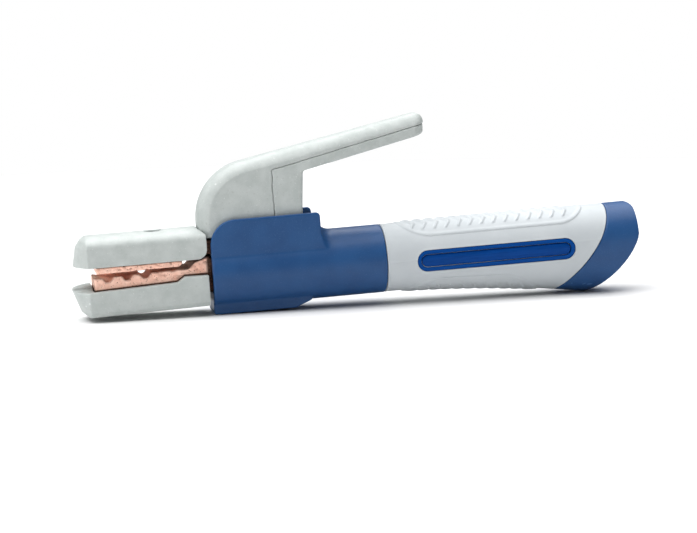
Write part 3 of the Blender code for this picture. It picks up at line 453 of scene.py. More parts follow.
def zinc_steel():
    """Zinc-plated steel of pin, clips, spring and screws, with a cloudy sheen and dark scratches."""
    material, tree, shader, where = new_material("zinc_steel", {"Metallic": 1.0})
    cloudy = remap(tree, grain(tree, where, 2.0, 4.0), 0.35, 0.68)
    body = mixed(tree, cloudy, (0.640, 0.650, 0.660), (0.430, 0.440, 0.460))
    colour = mixed(tree, edge_wear(tree), body, (0.780, 0.780, 0.790))
    tree.links.new(colour, shader.inputs["Base Color"])
    tree.links.new(remap(tree, cloudy, 0.0, 1.0, 0.26, 0.44), shader.inputs["Roughness"])
    bumped(tree, shader, [(grain(tree, where, 0.25, 3.0), 0.012)])
    return material


def dark_insulation():
    """Black-brown moulded insulating plastic of bush and spring seats."""
    material, tree, shader, where = new_material("dark_insulation", {"IOR": 1.5})
    cloudy = grain(tree, where, 1.2, 3.0)
    colour = mixed(tree, remap(tree, cloudy, 0.35, 0.65), (0.030, 0.024, 0.020), (0.060, 0.048, 0.040))
    tree.links.new(colour, shader.inputs["Base Color"])
    tree.links.new(remap(tree, cloudy, 0.3, 0.7, 0.45, 0.62), shader.inputs["Roughness"])
    bumped(tree, shader, [(cloudy, 0.03)])
    return material


# ------------------------------ handle

GRIP_TOP = 15.5
GRIP_RISE = 0.9
GRIP_SPREAD = 0.8
GRIP_FRONT_BASE = -15.3
CAP_DROP = -CAP[0].z
CAP_LOW_X = 93.0
CAP_HEEL = 3.0
CAP_CURVE = 1.4
SWELL = 1.93
SEAM_MID = (97.7, -0.8)
SEAM_SLOPE = 0.643
SEAM_CURVE = 0.0136
MEAN_R = 15.9  # turns an angle round the grip into a distance over its skin
TOP_PAD = (22.0, 81.0, 15.1, 13.6, 14.6)  # straight part from and to, reach of both round ends, half width
BASE_PAD = (26.0, 53.0, 18.0, 18.5, 15.0)
TOP_RIBS = (10.9, 14)  # place of the first rib, and their number
BASE_RIBS = (11.0, 11)
PARTING_Z = -0.7
PARTING_RISE = 2.3  # the parting line is this much higher at the cap
POCKET_FLOOR = 14.2
POCKET_MOUTH = 20.0  # outside the grip
CABLE_HOLE_R = 8.5
SEAM_ROUNDS = 6  # the seam's place depends on the skin there, and settles after a few rounds


def handle_top(x):
    """Height of the handle's straight top line."""
    return GRIP_TOP + GRIP_RISE * x / CAP[1].x


def handle_base(x):
    """Underside of the grip: it swells towards the cap."""
    share = np.clip(x, 0.0, CAP_LOW_X) / CAP_LOW_X
    return GRIP_FRONT_BASE - (CAP_DROP + GRIP_FRONT_BASE) * share**SWELL


def handle_half(x):
    """Half width of the handle, which grows a little towards the cap."""
    return NECK_R + GRIP_SPREAD * np.maximum(x, 0.0) / CAP[1].x


def seam_x(z):
    """Seam between grip and cap in side view: upright at the top, sweeping forward below."""
    rise = z - SEAM_MID[1]
    return SEAM_MID[0] + SEAM_SLOPE * rise - SEAM_CURVE * rise**2


def handle_points(x, turn, height=0.0):
    """Points of the handle's skin. turn is the angle from the crown, positive to the left side."""
    upper = np.cos(turn) > 0
    reach = np.where(upper, handle_top(x), -handle_base(x)) + height
    return np.stack([x, (handle_half(x) + height) * np.sin(turn), reach * np.cos(turn)], axis=-1)


def handle_skin_y(x, z):
    """Distance of the skin from the middle plane."""
    reach = np.where(z > 0, handle_top(x), -handle_base(x))
    return handle_half(x) * np.sqrt(np.maximum(1.0 - (z / reach) ** 2, 0.0))


def stadium_depth(x, across, front, rear, front_axis, rear_axis, half):
    """How far a point lies inside a pad with elliptic ends. Negative outside."""
    along = np.where(x < front, (front - x) / front_axis, np.where(x > rear, (x - rear) / rear_axis, 0.0))
    level = np.sqrt(along**2 + (across / half) ** 2)
    return (1.0 - level) * half


def pad_height(depth):
    """A pad stands proud inside its outline, with a rounded rim round it."""
    raised = 0.42 * smoothstep(0.0, 0.45, depth)
    return raised - 0.24 * smoothstep(1.3, 2.4, depth)


RIB_PITCH = 5.45
RIB_HOOK = 5.9  # the ribs turn back this far from the crown
RIB_END = 10.8


def rib_height(x, across, first, count):
    """Ribs that cross the crown, sweep back on each side and hook forward again."""
    out = np.abs(across)
    sweep = 1.8 * (1.0 - np.cos(np.pi * np.minimum(out, RIB_HOOK) / RIB_HOOK))
    hook = 2.3 * np.clip((out - RIB_HOOK) / (RIB_END - RIB_HOOK), 0.0, None) ** 1.2
    place = x - sweep + hook
    half_wide = 1.75 - 0.85 * smoothstep(3.0, 8.0, out)
    height = np.zeros_like(x)
    for i in range(count):
        off = (place - first - i * RIB_PITCH) / half_wide
        height = np.maximum(height, np.maximum(1.0 - off**2, 0.0) ** 1.5)
    return 0.55 * height * (1.0 - smoothstep(RIB_END - 1.2, RIB_END, out))


def badge_depth(x, z):
    """How far a point of the skin lies inside the badge's outline. Negative outside."""
    half = (BADGE[1].z - BADGE[0].z) / 2
    middle = (BADGE[1].z + BADGE[0].z) / 2
    nearest = np.clip(x, BADGE[0].x + half, BADGE[1].x - half)
    return half - np.hypot(x - nearest, z - middle)


def grip_height(x, turn, z):
    """Relief of the grip: pads, ribs, parting line, lips at its ends and round the badges."""
    crown = MEAN_R * np.abs(turn)
    keel = MEAN_R * (math.pi - np.abs(turn))
    top = stadium_depth(x, crown, *TOP_PAD)
    base = stadium_depth(x, keel, *BASE_PAD)
    height = pad_height(top) + pad_height(base)
    height += rib_height(x, crown, *TOP_RIBS) * smoothstep(1.6, 2.6, top)
    height += rib_height(x, keel, *BASE_RIBS) * smoothstep(0.6, 2.0, base)
    parting = z - (PARTING_Z + PARTING_RISE * x / CAP_LOW_X)
    height += 0.12 * np.maximum(1.0 - (parting / 0.50) ** 2, 0.0)
    outside = -badge_depth(x, z)
    height += 0.14 * smoothstep(1.1, 0.5, outside)
    to_seam = seam_x(z) - x
    lip = smoothstep(1.0, 0.4, np.minimum(x - GRIP[0].x, to_seam))
    corner = smoothstep(0.35, 0.0, np.minimum(x - GRIP[0].x, to_seam))
    return height + 0.10 * lip - 0.28 * corner**2


def stadium(inset, count=288):
    """Points (x, z) along the badge's outline, moved inwards."""
    half = (BADGE[1].z - BADGE[0].z) / 2
    middle = (BADGE[1].z + BADGE[0].z) / 2
    quarter = count // 4
    radius = half - inset
    rear = arc((BADGE[1].x - half, middle), radius, -90.0, 90.0, quarter - 1)
    front = arc((BADGE[0].x + half, middle), radius, 90.0, 270.0, quarter - 1)
    run = np.linspace(0.0, 1.0, quarter + 2)[1:-1]
    length = BADGE[1].x - BADGE[0].x - 2 * half
    above = [(BADGE[1].x - half - length * s, middle + radius) for s in run]
    below = [(BADGE[0].x + half + length * s, middle - radius) for s in run]
    return np.array(rear + above + front + below)


def badge_rows(profile, side):
    """Rings round the badge. The profile is (inset from the outline, height above the skin) pairs."""
    rows = []
    for inset, height in profile:
        points = stadium(inset)
        y = handle_skin_y(points[:, 0], points[:, 1]) + height
        rows.append(np.stack([points[:, 0], side * y, points[:, 1]], axis=-1))
    return rows


def add_grip(material):
    """The soft grip: its moulded skin, its bore for the tube and the pockets of the badges."""
    around, along = 280, 300
    turn = np.linspace(-math.pi, math.pi, around, endpoint=False)[None, :]
    share = np.linspace(0.0, 1.0, along)[:, None]
    share = share - 0.010 * np.sin(2 * math.pi * share)  # finer rows near both ends
    end = np.full_like(turn, SEAM_MID[0])
    for _ in range(SEAM_ROUNDS):
        end = seam_x(handle_points(end, turn)[..., 2])
    x = GRIP[0].x + (end - GRIP[0].x) * share
    turns = np.broadcast_to(turn, x.shape)
    z = handle_points(x, turns)[..., 2]
    outer = handle_points(x, turns, grip_height(x, turns, z))
    bore_y = (TUBE_R + GAP) * np.sin(turn[0])
    bore_z = (TUBE_R + GAP) * np.cos(turn[0])
    inner = [np.stack([row[:, 0], bore_y, bore_z], -1) for row in (outer[-1], outer[0])]
    rows = np.concatenate([outer, inner])
    pockets = []
    for side in (-1.0, 1.0):
        outline = [tuple(p) for p in stadium(-GAP / 2, 120)]
        pockets.append(prism(outline, side * POCKET_FLOOR, side * POCKET_MOUTH))
    mesh = worked(skin(rows, loop_rows=True), cuts=pockets)
    piece("soft_grip", mesh, "holder", "grip_rubber", material, "grip_sleeve", sharp_deg=40.0)


def add_badges(rim_material, plate_material):
    rim = [(0.25, -1.6), (0.05, -0.9), (0.0, -0.25), (0.15, -0.05), (0.5, 0.12), (0.9, 0.18), (1.3, 0.12)]
    rim += [(1.6, -0.05), (1.75, -0.3), (1.8, -0.8), (1.8, -1.6)]
    plate = [(2.1, -1.6), (2.1, -0.75), (2.25, -0.58), (2.6, -0.48), (3.1, -0.40), (3.7, -0.35)]
    plate += [(4.2, -0.33), (4.7, -0.32)]
    for label, side in (("left", 1.0), ("right", -1.0)):
        mesh = worked(skin(badge_rows(rim, side), loop_rows=True))
        piece(f"badge_rim_{label}", mesh, "holder", "blue_plastic", rim_material, f"badge_frame_{label}")
        mesh = worked(skin(badge_rows(plate, side)))
        name = f"badge_label_{label}"
        piece(name, mesh, "holder", "badge_blue", plate_material, f"badge_plate_{label}", sharp_deg=50.0)


def cap_outline():
    """Side view of the cap: its upper corner, the seam, and a heel that curves up to the end."""
    corner_r, steps = 2.6, 32
    end_x = CAP[1].x
    outline = arc((end_x - corner_r, handle_top(end_x) - corner_r), corner_r, 0.0, 90.0, 10)
    for i in range(steps + 1):
        z = 22.0 - 48.0 * i / steps
        outline.append((seam_x(z) + GAP, z))
    for i in range(steps + 1):
        share = math.sin(math.pi / 2 * i / steps)
        drop = (CAP_DROP + CAP_HEEL) * (1.0 - share**CAP_CURVE) ** (1 / CAP_CURVE)
        outline.append((CAP_LOW_X + (end_x - CAP_LOW_X) * share, CAP_HEEL - drop))
    return outline


def add_cap(material):
    """The rear cap: the handle's shape behind the seam, with its seat for the tube and its cable hole."""
    turn = np.linspace(-math.pi, math.pi, 240, endpoint=False)
    along = np.linspace(58.0, CAP[1].x + 0.2, 120)
    turns, x = np.meshgrid(turn, along)
    body = skin(handle_points(x, turns))
    side = prism(cap_outline(), -BESIDE, BESIDE)
    tube_seat = rod(-10.0, TUBE[1].x + GAP, TUBE_R + GAP)
    cable_hole = rod(TUBE[1].x - 5.0, CAP[1].x + 5.0, CABLE_HOLE_R)
    mesh = worked(body, keeps=[side], cuts=[tube_seat, cable_hole], voxel=0.36, smooth=6)
    piece("blue_rear_cap", mesh, "holder", "blue_plastic", material, "rear_cap")


# ------------------------------ housing

CHEEK_HALF = 13.3
CHEEK_INNER = 10.8
CHEEK_TOP = HOUSING[1].z
CHEEK_REAR = -28.8
CHEEK_CORNER = 11.5
REAR_CORNER = 1.8
SWEEP_R = 6.5
SWEEP_CENTRE = (CHEEK_REAR - SWEEP_R, 14.4)
SWEEP_FILLET = 6.0
FILLET_STEPS = 12
KEEL_HALF = 8.7
KEEL_REAR = -41.5
SLOT_REAR = -30.3
SLOT_FLOOR = -7.3
SLOT_LIP = 18.6
SCREW_HOLE_R = 1.9
LOCK_HOLE_R = 2.3
HEAD_ROOM_R = 3.9  # room for a screw's head
HEAD_SEAT_Z = -14.2


def cheek_outline():
    """Side view of the cheeks. Their rear goes down past the neck and sweeps forward to a crease."""
    front = HOUSING[0].x
    outline = [(front, 0.0)]
    outline += arc((front + CHEEK_CORNER, CHEEK_TOP - CHEEK_CORNER), CHEEK_CORNER, 180.0, 90.0, 24)
    outline += arc((CHEEK_REAR - REAR_CORNER, CHEEK_TOP - REAR_CORNER), REAR_CORNER, 100.0, 0.0, 10)
    outline += arc(SWEEP_CENTRE, SWEEP_R, 0.0, -90.0, 20)
    return outline + [(SWEEP_CENTRE[0], 0.0)]


def sweep_fillet():
    """Steps of a hollow fillet where the cheeks' swept rear meets the round body. Remeshing blends them."""
    shapes = []
    for i in range(1, FILLET_STEPS):
        run = SWEEP_FILLET * i / FILLET_STEPS
        rise = SWEEP_FILLET - math.sqrt(SWEEP_FILLET**2 - (SWEEP_FILLET - run) ** 2)
        outline = []
        for angle in range(-90, 1, 5):
            radius = SWEEP_R + run * smoothstep(-90.0, -45.0, angle)
            turn = math.radians(angle)
            x = SWEEP_CENTRE[0] + radius * math.cos(turn)
            outline.append((x, SWEEP_CENTRE[1] + radius * math.sin(turn)))
        outline += [(CHEEK_REAR + run, CHEEK_TOP), (SWEEP_CENTRE[0], CHEEK_TOP)]
        plate = prism(outline, -CHEEK_HALF, CHEEK_HALF)
        mesh = worked(rod(SWEEP_CENTRE[0] - 1.0, -15.0, NECK_R + rise, sides=96), keeps=[plate])
        shape = bmesh.new()
        shape.from_mesh(mesh)
        bpy.data.meshes.remove(mesh)
        shapes.append(shape)
    return shapes


def keel_outline():
    """Side view of the flat keel that the holder stands on."""
    front, base = HOUSING[0].x, HOUSING[0].z
    outline = [(front, 0.0), (front, base + 0.8), (front + 0.8, base), (KEEL_REAR, base)]
    return outline + [(-34.3, -14.8), (-30.0, 0.0)]


def add_housing(material):
    """The blue housing: round body, cheeks and keel in one, with the slot that the lever works in."""
    front = HOUSING[0].x
    body = rod(front, 0.0, NECK_R, sides=160)
    cheeks = prism(cheek_outline(), -CHEEK_HALF, CHEEK_HALF)
    keel = prism(keel_outline(), -KEEL_HALF, KEEL_HALF)
    slot = box(front - 10.0, SLOT_REAR, -CHEEK_INNER, CHEEK_INNER, SLOT_FLOOR, ABOVE)
    dip = box(SLOT_REAR - 2.0, -20.0, -CHEEK_INNER, CHEEK_INNER, SLOT_LIP, ABOVE)
    shank = rod(-40.0, 10.0, SHANK_R + GAP, sides=64)
    tube_seat = rod(TUBE[0].x - GAP, 10.0, TUBE_R + GAP)
    screw = span("housing_screw")
    lock = span("handle_lock_screw")
    screw_x = (screw[0].x + screw[1].x) / 2
    lock_x = (lock[0].x + lock[1].x) / 2
    holes = [
        rod(-25.0, 0.0, SCREW_HOLE_R, "Z", (screw_x, 0.0, 0.0), 48),
        rod(-25.0, HEAD_SEAT_Z, HEAD_ROOM_R, "Z", (screw_x, 0.0, 0.0), 64),
        rod(-20.0, 0.0, LOCK_HOLE_R, "Z", (lock_x, 0.0, 0.0), 48),
    ]
    cuts = [slot, dip, shank, tube_seat, *holes]
    mesh = worked(body, joins=[cheeks, keel, *sweep_fillet()], cuts=cuts, voxel=0.45, smooth=3)
    piece("blue_housing", mesh, "holder", "blue_plastic", material, "front_housing")


# ------------------------------ jaws


def nose(tip_x, corner_x, half, z, steps=20):
    """A bow-shaped nose in plan: its tip on the middle plane and its corners at the full half width."""
    shares = (i / steps for i in range(-steps, steps + 1))
    return [(tip_x + (corner_x - tip_x) * s**2, half * s, z) for s in shares]


UPPER_CORNER_X = -133.6
UPPER_WALL = 16.2
NOSE_SLOPE = ((1.8, 0.0, 17.3), (4.0, 0.8, 20.0))  # how far its tip and corners fall back, and the height
JAW_FRONT = -131.0
CORE_TOP = 16.2
REAR_ROUND = ((-84.5, 12.6), 4.0)  # centre and radius of the upper insulator's lower rear corner
RIM_STEP_X = (-94.4, -91.0)  # the lower trough's rim steps up between these
RIM_Z = (-2.4, -1.1, 1.2)  # the rim at the jaw's front, before its step and behind it


def dome(grow=0.0):
    """Cross section of the upper insulator: upright sides that round over into a domed top."""
    half, top = UPPER[1].y + grow, UPPER[1].z + grow
    points = []
    for i in range(49):
        angle = math.pi * i / 48
        across, up = math.cos(angle), math.sin(angle)
        y = math.copysign(abs(across) ** 0.80, across) * half
        points.append((y, UPPER_WALL + (top - UPPER_WALL) * up**0.80))
    return points + [(-half, 0.0), (half, 0.0)]


def add_upper_insulator(material):
    """The cover of the upper jaw, with its sloping nose, its pocket and the screw's hole."""
    low, high = UPPER
    half = high.y
    rear = high.x
    points = []
    for tip_back, corner_back, z in ((0.0, 0.0, low.z), *NOSE_SLOPE, (6.6, 3.0, high.z)):
        points += nose(low.x + tip_back, UPPER_CORNER_X + corner_back, half, z)
    for y in (-half, half):
        points += [(rear, y, low.z), (rear, y, 19.2), (rear - 3.5, y, high.z)]
    section = prism(dome(), low.x - 5.0, rear + 5.0, "X")
    pocket = box(JAW_FRONT - GAP, rear + 5.0, -CAVITY_HALF, CAVITY_HALF, 2.0, CORE_TOP + GAP)
    corner = [(-83.0, 4.0), (-75.0, 4.0), (-75.0, 13.0), (-80.5, 13.0)]
    corner += arc(*REAR_ROUND, 0.0, -75.0, 12)
    rear_corner = prism(corner, -BESIDE, BESIDE)
    screw_x = (JAW_SCREW[0].x + JAW_SCREW[1].x) / 2
    hole = rod(10.0, 30.0, HEAD_ROOM_R, "Z", (screw_x, 0.0, 0.0), 64)
    mesh = worked(hull(points), keeps=[section], cuts=[pocket, rear_corner, hole], voxel=0.38, smooth=3)
    roughen(mesh, 0.03, 3.0)
    piece("upper_insulator", mesh, "lever", "grey_plastic", material, "upper_jaw_insulator")


def add_casting(node, name, body, slot, material, voxel, height, size, **pits):
    """A piece whose shape is the CAD one, with the soft edges and the rough skin of a casting."""
    mesh = worked(cad_shape(node), voxel=voxel, smooth=2)
    roughen(mesh, height, size, **pits)
    piece(name, mesh, body, slot, material, node)


def add_castings(copper, core, grey):
    """Both copper jaws, the metal core of the lever and the grey trough."""
    small_pits = {"pits": 0.30, "pit_size": 1.2}
    add_casting("lower_jaw", "copper_lower_jaw", "holder", "copper", copper, 0.40, 0.10, 2.2, pits=0.25)
    add_casting("upper_jaw", "copper_upper_jaw", "lever", "copper", copper, 0.28, 0.12, 1.8, **small_pits)
    add_casting("lever_core", "copper_lever_core", "lever", "copper", core, 0.40, 0.12, 2.0)
    add_casting("lower_jaw_insulator", "lower_insulator", "holder", "grey_plastic", grey, 0.38, 0.03, 3.0)


# ------------------------------ lever

ARCH_CENTRE = (-57.0, 24.0)
ARCH_R = 25.9
LEVER_SLOPE_DEG = 10.8
LEVER_SLOPE = math.radians(LEVER_SLOPE_DEG)
LEVER_HALF = 10.4
LEVER_TIP_HALF = 8.5
LEVER_TIP_X = SHELL[1].x
OPEN_DEG = 16.0
SPRING_KEEP = 0.75  # share of the spring's length that is left when the lever is open
SEAM_X = -48.9
BOX_REAR_X = -34.6
UNDER_SLOPE = math.tan(math.radians(12.0))
UNDER_REAR = 43.5
STRIP_THICK = 4.6
SHELL_FLOOR = 12.5
FOOT_Z = 17.0  # underside of the arch's foot
LAYERS = 14  # side views in each half of the lever
BACK_R = 7.6
BAND = 7.0  # the rounded back reaches this far in from each side, and ends in a soft crease
BOX_EDGE_R = 1.3
TIP_R = 4.6
STRIP_CORNER_R = 1.4
BOX_LEAN = 2.2
SEAM_GAP = 0.12
ARM_HALF = 4.0
ARM_THICK = 5.0
EAR_R = 6.5
EAR_OUT = 8.6
CORE_BAR_HALF = 8.8
SPRING_ROOM_HALF = 6.6
BOX_WALL = 3.1


def lever_top(x):
    """Height of the lever's straight top line."""
    touch_x = ARCH_CENTRE[0] - ARCH_R * math.sin(LEVER_SLOPE)
    touch_z = ARCH_CENTRE[1] + ARCH_R * math.cos(LEVER_SLOPE)
    return touch_z + (x - touch_x) * math.tan(LEVER_SLOPE)


def lever_under(x):
    """Height of the lever's underside behind the spring box."""
    return UNDER_REAR + (x - BOX_REAR_X) * UNDER_SLOPE


def lever_half(x):
    """Half width of the lever, which narrows behind the spring box."""
    share = min(max((x - BOX_REAR_X) / (LEVER_TIP_X - BOX_REAR_X), 0.0), 1.0)
    return LEVER_HALF + (LEVER_TIP_HALF - LEVER_HALF) * share


def seam_wander(place):
    """The seam between shell and cover isn't quite straight."""
    slow = noise.noise(Vector((place / 3.1, 4.7, 0.0)))
    quick = noise.noise(Vector((place, 0.0, 2.0)))
    return 0.45 * slow + 0.15 * quick


def seam_z(x):
    """Height of the seam between the shell and the strip under it."""
    return lever_under(x) + STRIP_THICK


def seam_points(shift_x, shift_z, end_x):
    """The seam in side view, from the foot of the lever up and then along it to end_x."""
    points = []
    top_z = seam_z(SEAM_X) + shift_z
    for i in range(31):
        z = SHELL_FLOOR + (top_z - SHELL_FLOOR) * i / 30
        points.append((SEAM_X + shift_x + seam_wander(z), z))
    for i in range(1, 41):
        x = SEAM_X + (end_x - SEAM_X) * i / 40
        points.append((x, seam_z(x) + shift_z + 0.4 * seam_wander(x)))
    return points


def rounding(y_share, width, radius):
    """How far a rounded edge has fallen back, at a share of the half width."""
    off = max(0.0, abs(y_share) * LEVER_HALF - (LEVER_HALF - width))
    return radius - math.sqrt(max(radius**2 - off**2, 0.0))


def back_curve(inset):
    """The lever's back in side view, from the tip along the top and down the arch, moved inwards."""

    def line(x):
        return lever_top(x) - inset / math.cos(LEVER_SLOPE)

    end_x = LEVER_TIP_X - inset
    start_x = end_x - TIP_R
    low_z = max(line(start_x) - TIP_R, seam_z(end_x) + 2 * GAP)
    points = []
    for i in range(13):
        angle = math.pi / 2 * i / 12
        x = start_x + TIP_R * math.cos(angle)
        points.append((x, low_z + (line(x) - low_z) * math.sin(angle)))
    arch = arc(ARCH_CENTRE, ARCH_R - inset, 90.0 + LEVER_SLOPE_DEG, 180.0, 40)
    for i in range(1, 20):
        x = start_x + (arch[0][0] - start_x) * i / 20
        points.append((x, line(x)))
    return points + arch


def shell_layer(y_share):
    """The shell's side view at a share of its half width. The back is rounded towards the sides."""
    inset = rounding(y_share, BAND, BACK_R)
    lower = seam_points(0.0, SEAM_GAP, LEVER_TIP_X - inset)
    foot_x = ARCH_CENTRE[0] - ARCH_R + inset
    foot = [(foot_x, FOOT_Z + 3.0), (foot_x + 0.6, FOOT_Z), (-74.5, FOOT_Z), (-70.0, FOOT_Z)]
    foot.append((-66.0, SHELL_FLOOR))
    return [(x, y_share * LEVER_HALF, z) for x, z in lower + back_curve(inset) + foot]


def cover_layer(y_share):
    """Side view of the spring box and of the strip along the lever's underside."""
    floor_z = SHELL_FLOOR + 1.5
    end_x = LEVER_TIP_X - GAP - rounding(y_share, BAND, BACK_R)
    rear_x = BOX_REAR_X - rounding(y_share, BOX_EDGE_R, BOX_EDGE_R)
    outline = [p for p in seam_points(SEAM_GAP, 0.0, end_x) if p[1] > floor_z]
    corner_x = end_x - STRIP_CORNER_R
    for i in range(7):
        angle = math.pi / 2 * i / 6
        x = corner_x + STRIP_CORNER_R * math.cos(angle)
        outline.append((x, lever_under(x) + STRIP_CORNER_R * (1.0 - math.sin(angle))))
    fillet_x = rear_x + STRIP_CORNER_R
    for i in range(1, 20):
        x = corner_x + (fillet_x - corner_x) * i / 20
        outline.append((x, lever_under(x)))
    fillet_z = lever_under(fillet_x) - STRIP_CORNER_R
    outline += arc((fillet_x, fillet_z), STRIP_CORNER_R, 102.0, 180.0, 6)
    outline.append((rear_x - BOX_LEAN, floor_z))
    return [(x, y_share * LEVER_HALF, z) for x, z in outline]


def lever_solid(layer):
    """A solid from side views across the lever. It narrows from the spring box to the tip."""
    rows = [layer(math.sin(math.pi / 2 * i / LAYERS)) for i in range(-LAYERS, LAYERS + 1)]
    bm = skin(rows)
    geometry = bm.verts[:] + bm.edges[:] + bm.faces[:]
    bmesh.ops.bisect_plane(bm, geom=geometry, plane_co=(BOX_REAR_X, 0.0, 0.0), plane_no=(1.0, 0.0, 0.0))
    for vert in bm.verts:
        vert.co.y *= lever_half(vert.co.x) / LEVER_HALF
    return bm


def core_arm(grow):
    """Room for the metal arm that runs from the pivot up the arch and into the lever."""
    half = ARM_THICK / 2 + grow
    bend_x = PIVOT.x + 4.0
    mid = 0.5 * (lever_top(0.0) + lever_under(0.0)) + 0.8
    slope = math.tan(LEVER_SLOPE)

    def centre(x):
        return mid + x * slope

    rise = EAR_R - 0.3 + grow
    outline = [(PIVOT.x - rise, PIVOT.z), (bend_x - half, centre(bend_x - half) - 1.0)]
    outline += [(bend_x + 2.0, centre(bend_x + 2.0) + half), (grow, centre(grow) + half)]
    outline += [(grow, centre(grow) - half), (bend_x + half + 4.0, centre(bend_x) - half)]
    return prism(outline + [(PIVOT.x + rise, PIVOT.z)], -ARM_HALF - grow, ARM_HALF + grow)


def spring_rooms():
    """The spring's places in the lever, from shut to open. The spring is shorter when the lever is open."""
    middle_x = (SPRING[0].x + SPRING[1].x) / 2
    radius = (SPRING[1].x - SPRING[0].x) / 2 + 2 * GAP
    steps = 4
    rooms = []
    for i in range(1, steps + 1):
        share = i / steps
        height = (SPRING[1].z - SPRING[0].z) * (1.0 - (1.0 - SPRING_KEEP) * share) + 2 * GAP
        room = rod(0.0, height, radius, "Z", (middle_x, 0.0, SPRING[0].z), 48)
        turn = Matrix.Rotation(math.radians(-OPEN_DEG * share), 3, "Y")
        bmesh.ops.rotate(room, cent=PIVOT, matrix=turn, verts=room.verts)
        rooms.append(room)
    return rooms


def add_lever_shell(material):
    """Arch and upper shell of the lever, hollowed for the core, the ears, the insulator and the spring."""
    ears = arc((PIVOT.x, PIVOT.z), EAR_R + 0.6, 0.0, 180.0, 24)
    ears += [(PIVOT.x - EAR_R - 0.6, 0.0), (PIVOT.x + EAR_R + 0.6, 0.0)]
    ear_room = prism(ears, -EAR_OUT - GAP, EAR_OUT + GAP)
    bar_half = CORE_BAR_HALF + GAP
    bar_room = box(-90.0, PIVOT.x, -bar_half, bar_half, 0.0, CORE_TOP + GAP)
    over_room = prism(dome(-0.2), -100.0, UPPER[1].x - 2.0, "X")
    behind_room = prism(dome(-1.3), -100.0, UPPER[1].x + GAP, "X")
    cuts = [core_arm(GAP), ear_room, bar_room, over_room, behind_room, *spring_rooms()]
    mesh = worked(lever_solid(shell_layer), cuts=cuts, voxel=0.45, smooth=2)
    piece("lever_upper_shell", mesh, "lever", "grey_plastic", material, "lever_shell")


def add_under_cover(material):
    """The spring box and the strip along the lever's underside, hollowed for the spring and the arm."""
    spring_top = SPRING[1].z + 1.2 + 2 * GAP
    half = SPRING_ROOM_HALF
    room = box(SEAM_X + 1.3, BOX_REAR_X - BOX_WALL, -half, half, 0.0, spring_top)
    cuts = [room, core_arm(GAP), *spring_rooms()]
    mesh = worked(lever_solid(cover_layer), cuts=cuts, voxel=0.42, smooth=2)
    piece("lever_lower_cover", mesh, "lever", "grey_plastic", material, "lever_under_cover")


# ------------------------------ spring


def add_spring(material):
    """A compression spring with its end turns closed, at its length with the lever shut."""
    wire_r, turns, per_turn, sides = 0.6, 6.5, 48, 14
    radius = (SPRING[1].x - SPRING[0].x) / 2 - wire_r
    middle = Vector(((SPRING[0].x + SPRING[1].x) / 2, 0.0, 0.0))
    low, high = SPRING[0].z + wire_r, SPRING[1].z - wire_r
    count = round(turns * per_turn)
    rows = []
    for i in range(count + 1):
        share = i / count
        eased = share - 0.09 * math.sin(2 * math.pi * share) / math.pi
        angle = 2 * math.pi * turns * share
        outward = Vector((math.cos(angle), math.sin(angle), 0.0))
        centre = middle + outward * radius + Vector((0.0, 0.0, low + (high - low) * eased))
        row = []
        for k in range(sides):
            turn = 2 * math.pi * k / sides
            row.append(centre + (outward * math.cos(turn) + UP * math.sin(turn)) * wire_r)
        rows.append(row)
    mesh = worked(skin(rows))
    spring = piece("return_spring", mesh, "holder", "steel", material, "spring", sharp_deg=50.0)
    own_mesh(spring)


# ------------------------------ the pieces that keep their CAD shape


def finish_cad_nodes(looks):
    """Small turned and flat pieces keep their CAD mesh, with broken edges and a proper material."""
    for look, names in looks.items():
        for name in names:
            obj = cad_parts[name]
            obj.data.materials.clear()
            obj.data.materials.append(look)
            obj.data.shade_smooth()
            obj.data.set_sharp_from_angle(angle=math.radians(32.0))
            weld = obj.modifiers.new("weld", "WELD")
            weld.merge_threshold = 0.002 * MM
            bevel = obj.modifiers.new("edges", "BEVEL")
            bevel.width = 0.15 * MM
            bevel.segments = 2
            bevel.limit_method = "ANGLE"
            bevel.angle_limit = math.radians(40.0)
            bevel.harden_normals = True


# ------------------------------ floor, light, camera

FLOOR_R = 0.75
FLOOR_THICK = 0.02
FLOOR_DROP = 0.0001  # keeps the floor just clear of the keel
WORLD_LIGHT = 0.10  # the world is white to the camera, and this bright as a source of light
AZIMUTH_DEG, ELEVATION_DEG, ROLL_DEG = -10.0, 7.8, 3.8
CAMERA_DISTANCE = 1100.0
VIEW_RIGHT, VIEW_UP = -14.77, -3.86  # from the ring to the middle of the view


def floor_material():
    """Plain white paper."""
    material, tree, shader, where = new_material("floor", {"Roughness": 0.9, "Specular IOR Level": 0.1})
    cloudy = remap(tree, grain(tree, where, 300.0, 2.0), 0.3, 0.7)
    colour = mixed(tree, cloudy, (0.80, 0.80, 0.80), (0.82, 0.82, 0.82))
    tree.links.new(colour, shader.inputs["Base Color"])
    return material


def add_floor():
    """A white table. The holder rests on its keel and its cap, so the table leans by about 2 degrees."""
    keel_at = FROM_HANDLE @ Vector((HOUSING[0].x + 0.8, 0.0, HOUSING[0].z))
    cap_at = FROM_HANDLE @ Vector((CAP_LOW_X, 0.0, CAP[0].z))
    lean = math.atan2(cap_at.z - keel_at.z, cap_at.x - keel_at.x)
    outline = arc((0.0, 0.0), FLOOR_R, 0.0, 360.0, 96)[:-1]
    bm = prism(outline, -FLOOR_THICK, 0.0, "Z")
    bm.transform(Matrix.Rotation(-lean, 4, "Y"))
    bm.transform(Matrix.Translation(keel_at - UP * FLOOR_DROP))
    mesh = bpy.data.meshes.new("floor")
    bm.to_mesh(mesh)
    bm.free()
    mesh.materials.append(floor_material())
    floor = bpy.data.objects.new("floor", mesh)
    bpy.context.scene.collection.objects.link(floor)


